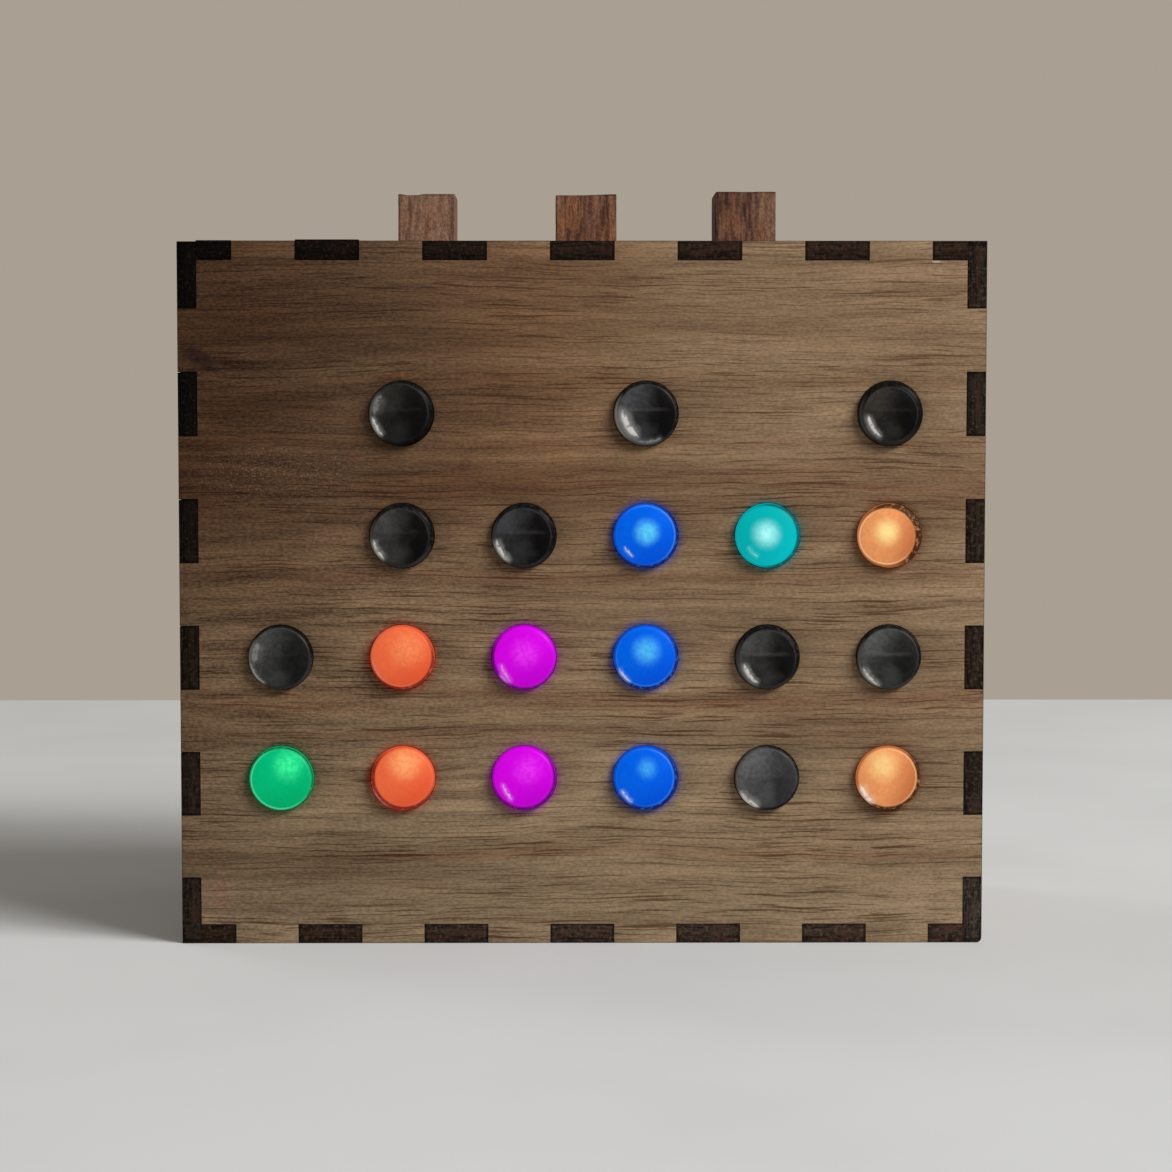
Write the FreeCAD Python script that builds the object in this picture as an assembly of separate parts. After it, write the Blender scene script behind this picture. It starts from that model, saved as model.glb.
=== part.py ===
import FreeCAD, Part
import math
import os

# A desk clock in a finger-jointed walnut plywood case. Six columns of round lamps in the front panel
# show hours, minutes and seconds in binary-coded decimal, and three wooden push buttons stand out of
# the top. Millimetres throughout. The origin is the centre of the underside, +Z is up, the lamps face
# -Y and +X is to the right for someone who reads the clock.

# Case
WIDTH = 127.0
HEIGHT = 111.0
DEPTH = 60.0
PLY = 3.0
FINGER = 10.0
HALF_WIDTH = WIDTH / 2
FRONT = -DEPTH / 2
BACK = DEPTH / 2
INNER_FRONT = FRONT + PLY
INNER_BACK = BACK - PLY
INNER_TOP = HEIGHT - PLY
TOLERANCE = 1e-6

# Lamps: name of each column and the binary weights it shows, the lowest lamp first
COLUMNS = (
    ("hour_tens", (1, 2)),
    ("hour_units", (1, 2, 4, 8)),
    ("minute_tens", (1, 2, 4)),
    ("minute_units", (1, 2, 4, 8)),
    ("second_tens", (1, 2, 4)),
    ("second_units", (1, 2, 4, 8)),
)
LAMP_PITCH = 19.2
LAMP_CENTRE_X = 0.4
LOWEST_LAMP_Z = 26.4
LAMP_ROWS = 4
LENS_RADIUS = 5.05
LENS_HOLE_RADIUS = 5.15
LENS_PROUD = 2.2
LENS_CROWN = 0.75
LENS_CROWN_RADIUS = 4.4
FLANGE_RADIUS = 6.2
FLANGE_THICKNESS = 1.0

# Lamp stack behind the front panel: diffuser sheet, black baffle, circuit board with the LEDs
DIFFUSER_THICKNESS = 0.5
BAFFLE_THICKNESS = 8.0
BAFFLE_MARGIN = 9.0
WELL_RADIUS = 4.5
BOARD_THICKNESS = 1.6
LED_SIZE = 5.0
LED_HEIGHT = 1.6
LED_WINDOW_RADIUS = 2.0
LED_WINDOW_DEPTH = 0.3
DISPLAY_BOARD_GAP = 0.5

DIFFUSER_FRONT = INNER_FRONT + FLANGE_THICKNESS
BAFFLE_FRONT = DIFFUSER_FRONT + DIFFUSER_THICKNESS
DISPLAY_FRONT = BAFFLE_FRONT + BAFFLE_THICKNESS
DISPLAY_BACK = DISPLAY_FRONT + BOARD_THICKNESS

# Hardwood blocks glued in the corners, and the screws that go into them
BLOCK = 10.0
REAR_BLOCK_LENGTH = 20.0
CASE_SCREW_RADIUS = 1.4
CASE_SCREW_HEAD_RADIUS = 2.7
CASE_SCREW_HEAD_HEIGHT = 1.6
CASE_SCREW_LENGTH = 14.0
BOARD_SCREW_RADIUS = 1.1
BOARD_SCREW_HEAD_RADIUS = 2.1
BOARD_SCREW_HEAD_HEIGHT = 1.4
BOARD_SCREW_LENGTH = 6.0

# Shape of every screw, as shares of its own radius, head radius and head height
SCREW_TIP = 0.4
SCREW_TAPER = 1.5
HEAD_RIM = 0.35
HEAD_CURVE_RADIUS, HEAD_CURVE_HEIGHT = 0.72, 0.85
HEAD_SLOT_LENGTH, HEAD_SLOT_WIDTH, HEAD_SLOT_FLOOR = 1.1, 0.24, 0.45

# Push buttons: name, width across the front and height above the case, which differ as hand-cut
# pieces do. The right one has its upper left corner rounded off.
BUTTONS = (
    ("left", 9.4, 9.4),
    ("middle", 10.1, 9.4),
    ("right", 10.1, 9.8),
)
BUTTON_PITCH = 26.4
BUTTON_CENTRE_X = 0.75
BUTTON_DEPTH = 10.0
BUTTON_CLEARANCE = 0.25
BUTTON_ROUNDED = "right"
BUTTON_CORNER_RADIUS = 0.9
BUTTON_TRAVEL = 2.0
BUTTON_TAIL = 5.0
COLLAR_SIZE = 15.0
COLLAR_GAP = 0.1

# Self-returning switch under each button
HOUSING_SIZE = 8.5
HOUSING_HEIGHT = 8.0
HOUSING_WALL = 0.8
HOUSING_FLOOR = 1.0
STEM_SIZE = 3.3
STEM_CLEARANCE = 0.2
STEM_GRIP = 3.9
STEM_HOLE_DEPTH = 4.0
STEM_FOOT_SIZE = 6.3
STEM_FOOT_HEIGHT = 1.2
SWITCH_SLACK = 0.6
SPRING_RADIUS = 2.0
SPRING_WIRE_RADIUS = 0.2
SPRING_TURNS = 5
SPRING_RUNS_A_TURN = 14
SPRING_WIRE_SIDES = 8
MITRED = 1
PIN_RADIUS = 0.35
PIN_LENGTH = 3.2
SWITCH_PIN_PITCH = 2.5
SWITCH_PIN_ROWS = 5.0

BUTTON_BOTTOM = INNER_TOP - BUTTON_TAIL
HOUSING_TOP = BUTTON_BOTTOM - BUTTON_TRAVEL - SWITCH_SLACK
BUTTON_BOARD_TOP = HOUSING_TOP - HOUSING_HEIGHT
BUTTON_BOARD_BOTTOM = BUTTON_BOARD_TOP - BOARD_THICKNESS
BUTTON_BOARD_LENGTH = 90.0
BUTTON_BOARD_WIDTH = 14.0
HANGER_WIDTH = 10.0
HANGER_DEPTH = 12.0
HANGER_SPREAD = 40.0

# Main board on stand-offs above the floor of the case
STANDOFF_HEIGHT = 5.0
STANDOFF_RADIUS = 2.75
MAIN_LENGTH = 70.0
MAIN_FRONT = -12.0
MAIN_BACK = 26.5
MAIN_BOTTOM = PLY + STANDOFF_HEIGHT
MAIN_TOP = MAIN_BOTTOM + BOARD_THICKNESS
MAIN_HOLE_INSET = 3.5

# Power socket at the back
SOCKET_WIDTH = 8.94
SOCKET_HEIGHT = 3.26
SOCKET_LENGTH = 7.35
SOCKET_SHELL = 0.3
SOCKET_MOUTH_DEPTH = 6.2
SOCKET_TONGUE_WIDTH = 6.7
SOCKET_TONGUE_HEIGHT = 0.7
SOCKET_TONGUE_INSET = 1.0
SOCKET_MOUTH = INNER_BACK - 0.2
SOCKET_CENTRE_Z = MAIN_TOP + SOCKET_HEIGHT / 2
CUTOUT_WIDTH = 13.0
CUTOUT_HEIGHT = 7.0
CUTOUT_CORNER = 1.5

# Coin cell that keeps the time when the power is off
CELL_RADIUS = 10.0
CELL_THICKNESS = 3.2
CELL_RIM = 0.5
HOLDER_RADIUS = 11.7
HOLDER_HEIGHT = 5.2
HOLDER_FLOOR = 1.2
HOLDER_CLEARANCE = 0.2
HOLDER_SLOT = 7.0
HOLDER_X, HOLDER_Y = -21.0, 12.0
CLIP_WIDTH = 4.0
CLIP_THICKNESS = 0.3
CLIP_DIMPLE_RADIUS = 1.4

# Other parts on the main board
CHIP_X, CHIP_Y = 26.0, 9.0
CHIP_SIZE, CHIP_HEIGHT, CHIP_LEADS_A_SIDE = 7.0, 1.0, 8
CLOCK_CHIP_X, CLOCK_CHIP_Y = -24.0, -5.0
CLOCK_CHIP_LENGTH, CLOCK_CHIP_WIDTH, CLOCK_CHIP_HEIGHT = 5.0, 4.0, 1.5
CLOCK_CHIP_LEADS_A_SIDE = 4
CHIP_STAND = 0.1
LEAD_LENGTH, LEAD_THICKNESS = 1.0, 0.2
CRYSTAL_X, CRYSTAL_Y = 25.0, -2.5
CRYSTAL_LENGTH, CRYSTAL_WIDTH, CRYSTAL_HEIGHT, CRYSTAL_FLANGE = 10.2, 3.8, 3.5, 0.6
CAPACITOR_X, CAPACITOR_Y = 12.0, 15.5
CAPACITOR_RADIUS, CAPACITOR_HEIGHT, CAPACITOR_EDGE = 4.0, 11.5, 0.4
CAPACITOR_GROOVE_Z, CAPACITOR_GROOVE_HALF_WIDTH, CAPACITOR_GROOVE_DEPTH = 1.3, 0.4, 0.35

# Four-way connectors and the wires between them
WAYS = 4
WAY_PITCH = 2.5
WIRE_RADIUS = 0.65
RECEPTACLE_LENGTH, RECEPTACLE_WIDTH, RECEPTACLE_HEIGHT = 12.4, 5.8, 7.0
RECEPTACLE_WALL, RECEPTACLE_FLOOR = 0.7, 1.5
PLUG_LENGTH, PLUG_WIDTH, PLUG_HEIGHT = 10.8, 4.2, 7.5
PLUG_BOTTOM = 2.0
CONTACT_SIZE = 0.64
CONTACT_TOP = 6.0
WIRE_TOP = PLUG_BOTTOM + PLUG_HEIGHT
DISPLAY_CABLE_X = 12.0
DISPLAY_PLUG_Z = 60.0
DISPLAY_CABLE_REACH = 8.0
DISPLAY_CABLE_BEND = 7.8
BUTTON_CABLE_X = -12.35
BUTTON_CABLE_FOOT_Y = -7.5
BUTTON_CABLE_BEND = 14.0
BUTTON_CABLE_STRAIGHT = 12.0
BUTTON_CABLE_SLACK = 9.0
BUTTON_CABLE_SLACK_DROP = 30.0


def vec(x, y, z):
    return FreeCAD.Vector(x, y, z)


X_AXIS, Y_AXIS, Z_AXIS = vec(1, 0, 0), vec(0, 1, 0), vec(0, 0, 1)


def block(x, y, z):
    """A box between the two ends of each pair."""
    return Part.makeBox(x[1] - x[0], y[1] - y[0], z[1] - z[0], vec(x[0], y[0], z[0]))


def standing(cx, cy, z, length, width, height):
    """A box that stands at z, centred over cx and cy."""
    return block(
        (cx - length / 2, cx + length / 2), (cy - width / 2, cy + width / 2), (z, z + height)
    )


def rod(radius, length, base, axis=Z_AXIS):
    return Part.makeCylinder(radius, length, base, axis)


def polygon(radius, sides):
    """A closed wire of straight sides round the origin, flat in Z."""
    return Part.makePolygon([
        vec(radius * math.cos(2 * math.pi * i / sides), radius * math.sin(2 * math.pi * i / sides), 0)
        for i in range(sides + 1)
    ])


def turned(outline, centre, axis):
    """A closed outline of (radius, distance) points, turned about the axis through centre. A point
    may be a triple, whose last value is True for the middle of an arc to the next point."""
    edges = []
    start = outline[0][:2]
    points = list(outline[1:]) + [outline[0]]
    middle = None
    for point in points:
        if len(point) == 3 and point[2]:
            middle = point[:2]
            continue
        end = point[:2]
        a, b = vec(start[0], 0, start[1]), vec(end[0], 0, end[1])
        if middle is None:
            edges.append(Part.LineSegment(a, b).toShape())
        else:
            edges.append(Part.Arc(a, vec(middle[0], 0, middle[1]), b).toShape())
        start, middle = end, None
    solid = Part.Face(Part.Wire(edges)).revolve(vec(0, 0, 0), Z_AXIS, 360)
    if solid.Volume < 0:
        solid.reverse()
    solid.Placement = FreeCAD.Placement(centre, FreeCAD.Rotation(Z_AXIS, axis))
    return solid


def segments(length):
    """The finger joint along an edge, from minus to plus half its length: an odd number of whole
    fingers in the middle, and what is left at each corner."""
    count = int((length - 2 * PLY) // FINGER)
    count -= 1 - count % 2
    first = -count * FINGER / 2
    marks = [-length / 2] + [first + i * FINGER for i in range(count + 1)] + [length / 2]
    return list(zip(marks[:-1], marks[1:]))


def side_panel(side):
    """Left (-1) or right (+1) panel. It owns the corners and every other finger from them."""
    x = sorted((side * HALF_WIDTH, side * (HALF_WIDTH - PLY)))
    panel = block(x, (FRONT, BACK), (0, HEIGHT))
    notches = []
    for low, high in segments(HEIGHT)[1::2]:
        z = (low + HEIGHT / 2, high + HEIGHT / 2)
        notches += [block(x, (FRONT, INNER_FRONT), z), block(x, (INNER_BACK, BACK), z)]
    for y in segments(DEPTH)[1::2]:
        notches += [block(x, y, (0, PLY)), block(x, y, (INNER_TOP, HEIGHT))]
    return panel.cut(notches)


def upright_panel(y):
    """Front or back panel between the two depths y, before its openings are cut."""
    panel = block((-HALF_WIDTH, HALF_WIDTH), y, (0, HEIGHT))
    notches = []
    for low, high in segments(HEIGHT)[0::2]:
        z = (low + HEIGHT / 2, high + HEIGHT / 2)
        notches += [
            block((-HALF_WIDTH, PLY - HALF_WIDTH), y, z),
            block((HALF_WIDTH - PLY, HALF_WIDTH), y, z),
        ]
    for x in segments(WIDTH)[0::2]:
        notches += [block(x, y, (0, PLY)), block(x, y, (INNER_TOP, HEIGHT))]
    return panel.cut(notches)


def level_panel(z):
    """Top or bottom panel between the two heights z, before its openings are cut."""
    panel = block((-HALF_WIDTH, HALF_WIDTH), (FRONT, BACK), z)
    notches = []
    for y in segments(DEPTH)[0::2]:
        notches += [
            block((-HALF_WIDTH, PLY - HALF_WIDTH), y, z),
            block((HALF_WIDTH - PLY, HALF_WIDTH), y, z),
        ]
    for x in segments(WIDTH)[1::2]:
        notches += [block(x, (FRONT, INNER_FRONT), z), block(x, (INNER_BACK, BACK), z)]
    return panel.cut(notches)


def lamps():
    """Every lamp's lens name and its place, (name, x, z)."""
    first = LAMP_CENTRE_X - LAMP_PITCH * (len(COLUMNS) - 1) / 2
    return [
        (f"{column}_lens_{weight}", first + i * LAMP_PITCH, LOWEST_LAMP_Z + row * LAMP_PITCH)
        for i, (column, weights) in enumerate(COLUMNS)
        for row, weight in enumerate(weights)
    ]


def buttons():
    """Every button's name, centre x, width and top z."""
    middle = (len(BUTTONS) - 1) / 2
    return [
        (name, BUTTON_CENTRE_X + (i - middle) * BUTTON_PITCH, width, HEIGHT + height)
        for i, (name, width, height) in enumerate(BUTTONS)
    ]


def front_panel():
    holes = [
        rod(LENS_HOLE_RADIUS, PLY, vec(x, FRONT, z), Y_AXIS) for _, x, z in lamps()
    ]
    return upright_panel((FRONT, INNER_FRONT)).cut(holes)


def rear_screw_places():
    inset = HALF_WIDTH - PLY - BLOCK / 2
    heights = (PLY + BLOCK / 2, INNER_TOP - BLOCK / 2)
    return [(x, z) for x in (-inset, inset) for z in heights]


def back_panel():
    y = (INNER_BACK, BACK)
    half = CUTOUT_WIDTH / 2
    cutout = block(
        (-half, half), y, (SOCKET_CENTRE_Z - CUTOUT_HEIGHT / 2, SOCKET_CENTRE_Z + CUTOUT_HEIGHT / 2)
    )
    corners = [e for e in cutout.Edges if abs(e.tangentAt(e.FirstParameter).y) > 1 - TOLERANCE]
    cutout = cutout.makeFillet(CUTOUT_CORNER, corners)
    holes = [
        rod(CASE_SCREW_RADIUS, PLY, vec(x, INNER_BACK, z), Y_AXIS) for x, z in rear_screw_places()
    ]
    return upright_panel(y).cut([cutout] + holes)


def top_panel():
    reach = BUTTON_DEPTH / 2 + BUTTON_CLEARANCE
    holes = [
        block(
            (x - width / 2 - BUTTON_CLEARANCE, x + width / 2 + BUTTON_CLEARANCE),
            (-reach, reach),
            (INNER_TOP, HEIGHT),
        )
        for _, x, width, _ in buttons()
    ]
    return level_panel((INNER_TOP, HEIGHT)).cut(holes)


def corner_blocks(front, back):
    """Four blocks in the corners of the case between two depths."""
    x = HALF_WIDTH - PLY
    return [
        block(px, (front, back), pz)
        for px in ((-x, BLOCK - x), (x - BLOCK, x))
        for pz in ((PLY, PLY + BLOCK), (INNER_TOP - BLOCK, INNER_TOP))
    ]


def screw(radius, head_radius, head_height, length, seat, axis):
    """A domed screw with a cross slot. The underside of its head is at seat, and axis points from
    there to the top of the head."""
    outline = [
        (0, -length),
        (radius * SCREW_TIP, -length),
        (radius, -length + radius * SCREW_TAPER),
        (radius, 0),
        (head_radius, 0),
        (head_radius, head_height * HEAD_RIM),
        (head_radius * HEAD_CURVE_RADIUS, head_height * HEAD_CURVE_HEIGHT, True),
        (0, head_height),
    ]
    slot_long, slot_wide = head_radius * HEAD_SLOT_LENGTH, head_radius * HEAD_SLOT_WIDTH
    base = head_height * HEAD_SLOT_FLOOR
    slots = [
        standing(0, 0, base, slot_long, slot_wide, head_height),
        standing(0, 0, base, slot_wide, slot_long, head_height),
    ]
    solid = turned(outline, vec(0, 0, 0), Z_AXIS).cut(slots)
    solid.Placement = FreeCAD.Placement(seat, FreeCAD.Rotation(Z_AXIS, axis))
    return solid


def case_screw(x, z):
    return screw(
        CASE_SCREW_RADIUS, CASE_SCREW_HEAD_RADIUS, CASE_SCREW_HEAD_HEIGHT, CASE_SCREW_LENGTH,
        vec(x, BACK, z), Y_AXIS,
    )


def board_screw(seat, axis):
    return screw(
        BOARD_SCREW_RADIUS, BOARD_SCREW_HEAD_RADIUS, BOARD_SCREW_HEAD_HEIGHT, BOARD_SCREW_LENGTH,
        seat, axis,
    )


def rear_blocks():
    holes = [
        rod(CASE_SCREW_RADIUS, CASE_SCREW_LENGTH, vec(x, BACK - CASE_SCREW_LENGTH, z), Y_AXIS)
        for x, z in rear_screw_places()
    ]
    return [
        b.cut(holes) for b in corner_blocks(INNER_BACK - REAR_BLOCK_LENGTH, INNER_BACK)
    ]


def front_blocks():
    holes = [
        rod(BOARD_SCREW_RADIUS, BOARD_SCREW_LENGTH, vec(x, DISPLAY_BACK - BOARD_SCREW_LENGTH, z),
            Y_AXIS)
        for x, z in rear_screw_places()
    ]
    return [b.cut(holes) for b in corner_blocks(INNER_FRONT, DISPLAY_FRONT)]


def lens(x, z):
    """A smoked plug with a low crown and rounded shoulder. Its flange sits behind the panel."""
    crown_sphere = (LENS_CROWN_RADIUS**2 + LENS_CROWN**2) / (2 * LENS_CROWN)
    slope = math.asin(LENS_CROWN_RADIUS / crown_sphere)
    shoulder = (LENS_RADIUS - LENS_CROWN_RADIUS) / (1 - math.sin(slope))
    crown_end = LENS_PROUD - LENS_CROWN
    shoulder_centre = (LENS_RADIUS - shoulder, crown_end - shoulder * math.cos(slope))
    half_slope = slope / 2
    crown_middle = (
        crown_sphere * math.sin(half_slope),
        LENS_PROUD - crown_sphere * (1 - math.cos(half_slope)),
    )
    middle_angle = (slope + math.pi / 2) / 2
    shoulder_middle = (
        shoulder_centre[0] + shoulder * math.sin(middle_angle),
        shoulder_centre[1] + shoulder * math.cos(middle_angle),
    )
    outline = [
        (0, LENS_PROUD),
        (*crown_middle, True),
        (LENS_CROWN_RADIUS, crown_end),
        (*shoulder_middle, True),
        (LENS_RADIUS, shoulder_centre[1]),
        (LENS_RADIUS, -PLY),
        (FLANGE_RADIUS, -PLY),
        (FLANGE_RADIUS, -PLY - FLANGE_THICKNESS),
        (0, -PLY - FLANGE_THICKNESS),
    ]
    return turned(outline, vec(x, FRONT, z), -Y_AXIS)


def baffle_outline(front, thickness):
    half = LAMP_PITCH * (len(COLUMNS) - 1) / 2 + BAFFLE_MARGIN
    top_lamp = LOWEST_LAMP_Z + LAMP_PITCH * (LAMP_ROWS - 1)
    return block(
        (LAMP_CENTRE_X - half, LAMP_CENTRE_X + half),
        (front, front + thickness),
        (LOWEST_LAMP_Z - BAFFLE_MARGIN, top_lamp + BAFFLE_MARGIN),
    )


def light_baffle():
    wells = [
        rod(WELL_RADIUS, BAFFLE_THICKNESS, vec(x, BAFFLE_FRONT, z), Y_AXIS) for _, x, z in lamps()
    ]
    return baffle_outline(BAFFLE_FRONT, BAFFLE_THICKNESS).cut(wells)


def led(x, z):
    half = LED_SIZE / 2
    front = DISPLAY_FRONT - LED_HEIGHT
    window = rod(LED_WINDOW_RADIUS, LED_WINDOW_DEPTH, vec(x, front, z), Y_AXIS)
    return block((x - half, x + half), (front, DISPLAY_FRONT), (z - half, z + half)).cut(window)


def display_board():
    gap = DISPLAY_BOARD_GAP
    board = block(
        (PLY + gap - HALF_WIDTH, HALF_WIDTH - PLY - gap),
        (DISPLAY_FRONT, DISPLAY_BACK),
        (PLY + gap, INNER_TOP - gap),
    )
    holes = [
        rod(BOARD_SCREW_RADIUS, BOARD_THICKNESS, vec(x, DISPLAY_FRONT, z), Y_AXIS)
        for x, z in rear_screw_places()
    ]
    return board.cut(holes)


def button(x, width, top):
    """A square walnut post with a blind hole in its foot for the switch stem."""
    post = block((x - width / 2, x + width / 2), (-BUTTON_DEPTH / 2, BUTTON_DEPTH / 2),
                 (BUTTON_BOTTOM, top))
    return post.cut(standing(x, 0, BUTTON_BOTTOM, STEM_SIZE, STEM_SIZE, STEM_HOLE_DEPTH))


def rounded_button(x, width, top):
    """The post with its upper left edge, from front to back, rounded off."""
    post = button(x, width, top)
    left = x - width / 2
    edge = [
        e for e in post.Edges
        if all(abs(v.X - left) < TOLERANCE and abs(v.Z - top) < TOLERANCE for v in e.Vertexes)
    ]
    return post.makeFillet(BUTTON_CORNER_RADIUS, edge)


def collar(x, width):
    """A plywood square glued round the post, which stops it under the top panel."""
    top = INNER_TOP - COLLAR_GAP
    ring = standing(x, 0, top - PLY, COLLAR_SIZE, COLLAR_SIZE, PLY)
    return ring.cut(standing(x, 0, top - PLY, width, BUTTON_DEPTH, PLY))


def switch_housing(x):
    body = standing(x, 0, BUTTON_BOARD_TOP, HOUSING_SIZE, HOUSING_SIZE, HOUSING_HEIGHT)
    inside = HOUSING_SIZE - 2 * HOUSING_WALL
    cavity = standing(x, 0, BUTTON_BOARD_TOP + HOUSING_FLOOR, inside, inside,
                      HOUSING_HEIGHT - HOUSING_FLOOR - HOUSING_WALL)
    way = STEM_SIZE + 2 * STEM_CLEARANCE
    opening = standing(x, 0, HOUSING_TOP - HOUSING_WALL, way, way, HOUSING_WALL)
    pins = [
        rod(PIN_RADIUS, PIN_LENGTH, vec(px, py, BUTTON_BOARD_TOP - PIN_LENGTH))
        for px, py in switch_pin_places(x)
    ]
    return body.cut([cavity, opening]).fuse(pins)


def switch_pin_places(x):
    return [
        (x + i * SWITCH_PIN_PITCH, side * SWITCH_PIN_ROWS / 2) for i in (-1, 0, 1) for side in (-1, 1)
    ]


def switch_stem(x):
    """The sprung part of the switch: a square stem, gripped by the button, on a wider foot."""
    foot_top = HOUSING_TOP - HOUSING_WALL - COLLAR_GAP
    foot = standing(x, 0, foot_top - STEM_FOOT_HEIGHT, STEM_FOOT_SIZE, STEM_FOOT_SIZE,
                    STEM_FOOT_HEIGHT)
    stem = standing(x, 0, foot_top, STEM_SIZE, STEM_SIZE, BUTTON_BOTTOM + STEM_GRIP - foot_top)
    return foot.fuse(stem).removeSplitter()


def switch_spring(x):
    """A compression spring from the floor of the housing to the foot of the stem. Short straight
    runs with mitred corners follow the helix, so that every face is flat."""
    low = BUTTON_BOARD_TOP + HOUSING_FLOOR + SPRING_WIRE_RADIUS
    high = HOUSING_TOP - HOUSING_WALL - COLLAR_GAP - STEM_FOOT_HEIGHT - SPRING_WIRE_RADIUS
    runs = SPRING_TURNS * SPRING_RUNS_A_TURN
    points = []
    for i in range(runs + 1):
        angle = 2 * math.pi * i / SPRING_RUNS_A_TURN
        points.append(vec(x + SPRING_RADIUS * math.cos(angle), SPRING_RADIUS * math.sin(angle),
                          low + (high - low) * i / runs))
    section = polygon(SPRING_WIRE_RADIUS, SPRING_WIRE_SIDES)
    turn = FreeCAD.Rotation(Z_AXIS, points[1] - points[0])
    section.Placement = FreeCAD.Placement(points[0], turn)
    return Part.makePolygon(points).makePipeShell([section], True, False, MITRED)


def button_board():
    board = standing(BUTTON_CENTRE_X, 0, BUTTON_BOARD_BOTTOM, BUTTON_BOARD_LENGTH,
                     BUTTON_BOARD_WIDTH, BOARD_THICKNESS)
    holes = [
        rod(PIN_RADIUS, BOARD_THICKNESS, vec(px, py, BUTTON_BOARD_BOTTOM))
        for _, x, _, _ in buttons()
        for px, py in switch_pin_places(x)
    ]
    holes += [
        rod(BOARD_SCREW_RADIUS, BOARD_THICKNESS, vec(x, 0, BUTTON_BOARD_BOTTOM))
        for x in hanger_places()
    ]
    return board.cut(holes)


def hanger_places():
    return (BUTTON_CENTRE_X - HANGER_SPREAD, BUTTON_CENTRE_X + HANGER_SPREAD)


def hanger(x):
    """A block under the top panel that the button board is screwed to."""
    solid = standing(x, 0, BUTTON_BOARD_TOP, HANGER_WIDTH, HANGER_DEPTH,
                     INNER_TOP - BUTTON_BOARD_TOP)
    depth = BOARD_SCREW_LENGTH - BOARD_THICKNESS
    return solid.cut(rod(BOARD_SCREW_RADIUS, depth, vec(x, 0, BUTTON_BOARD_TOP)))


def main_hole_places():
    x = MAIN_LENGTH / 2 - MAIN_HOLE_INSET
    return [
        (px, py)
        for px in (-x, x)
        for py in (MAIN_FRONT + MAIN_HOLE_INSET, MAIN_BACK - MAIN_HOLE_INSET)
    ]


def main_board():
    half = MAIN_LENGTH / 2
    board = block((-half, half), (MAIN_FRONT, MAIN_BACK), (MAIN_BOTTOM, MAIN_TOP))
    return board.cut([
        rod(BOARD_SCREW_RADIUS, BOARD_THICKNESS, vec(x, y, MAIN_BOTTOM))
        for x, y in main_hole_places()
    ])


def standoff(x, y):
    """A hexagonal nylon pillar with a screw hole down its middle."""
    pillar = Part.Face(polygon(STANDOFF_RADIUS, 6)).extrude(vec(0, 0, STANDOFF_HEIGHT))
    pillar.translate(vec(x, y, PLY))
    depth = BOARD_SCREW_LENGTH - BOARD_THICKNESS
    return pillar.cut(rod(BOARD_SCREW_RADIUS, depth, vec(x, y, MAIN_BOTTOM - depth)))


def chip(x, y, length, width, height, leads, lead_sides):
    """A moulded chip with flat leads along two or all four of its sides."""
    base = MAIN_TOP + CHIP_STAND
    solids = [standing(x, y, base, length, width, height)]
    pitch = length / (leads + 1)
    for i in range(leads):
        along = (i - (leads - 1) / 2) * pitch
        for side in (-1, 1):
            out = side * (width + LEAD_LENGTH) / 2
            solids.append(standing(x + along, y + out, MAIN_TOP, pitch / 2, LEAD_LENGTH,
                                   LEAD_THICKNESS + CHIP_STAND))
            if lead_sides == 4:
                solids.append(standing(x + out, y + along, MAIN_TOP, LEAD_LENGTH, pitch / 2,
                                       LEAD_THICKNESS + CHIP_STAND))
    return solids


def crystal():
    """A flat steel can on a rolled flange, with rounded ends."""
    solids = []
    for margin, low, high in ((CRYSTAL_FLANGE, 0, CRYSTAL_FLANGE), (0, CRYSTAL_FLANGE,
                                                                    CRYSTAL_HEIGHT)):
        radius = CRYSTAL_WIDTH / 2 + margin
        reach = CRYSTAL_LENGTH / 2 - CRYSTAL_WIDTH / 2
        ends = [
            rod(radius, high - low, vec(CRYSTAL_X + side * reach, CRYSTAL_Y, MAIN_TOP + low))
            for side in (-1, 1)
        ]
        middle = standing(CRYSTAL_X, CRYSTAL_Y, MAIN_TOP + low, 2 * reach, 2 * radius, high - low)
        solids.append(middle.fuse(ends))
    return solids[0].fuse(solids[1]).removeSplitter()


def power_capacitor():
    """An upright capacitor can with the crimp groove near its foot."""
    r, h = CAPACITOR_RADIUS, CAPACITOR_HEIGHT
    groove, half = CAPACITOR_GROOVE_Z, CAPACITOR_GROOVE_HALF_WIDTH
    outline = [
        (0, 0), (r, 0), (r, groove - half), (r - CAPACITOR_GROOVE_DEPTH, groove),
        (r, groove + half), (r, h - CAPACITOR_EDGE), (r - CAPACITOR_EDGE, h), (0, h),
    ]
    return turned(outline, vec(CAPACITOR_X, CAPACITOR_Y, MAIN_TOP), Z_AXIS)


def coin_cell_holder():
    base = vec(HOLDER_X, HOLDER_Y, MAIN_TOP)
    pocket_radius = CELL_RADIUS + HOLDER_CLEARANCE
    pocket = rod(pocket_radius, HOLDER_HEIGHT, base + vec(0, 0, HOLDER_FLOOR))
    slot = standing(HOLDER_X - HOLDER_RADIUS, HOLDER_Y, MAIN_TOP + HOLDER_FLOOR, HOLDER_RADIUS,
                    HOLDER_SLOT, HOLDER_HEIGHT)
    clip_ways = [
        standing(HOLDER_X, HOLDER_Y + side * clip_reach(), MAIN_TOP, CLIP_WIDTH,
                 CLIP_THICKNESS, HOLDER_HEIGHT)
        for side in (-1, 1)
    ]
    return rod(HOLDER_RADIUS, HOLDER_HEIGHT, base).cut([pocket, slot] + clip_ways)


def clip_reach():
    """Distance of the clip's two legs from the middle of the holder."""
    return (CELL_RADIUS + HOLDER_CLEARANCE + HOLDER_RADIUS) / 2


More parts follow.
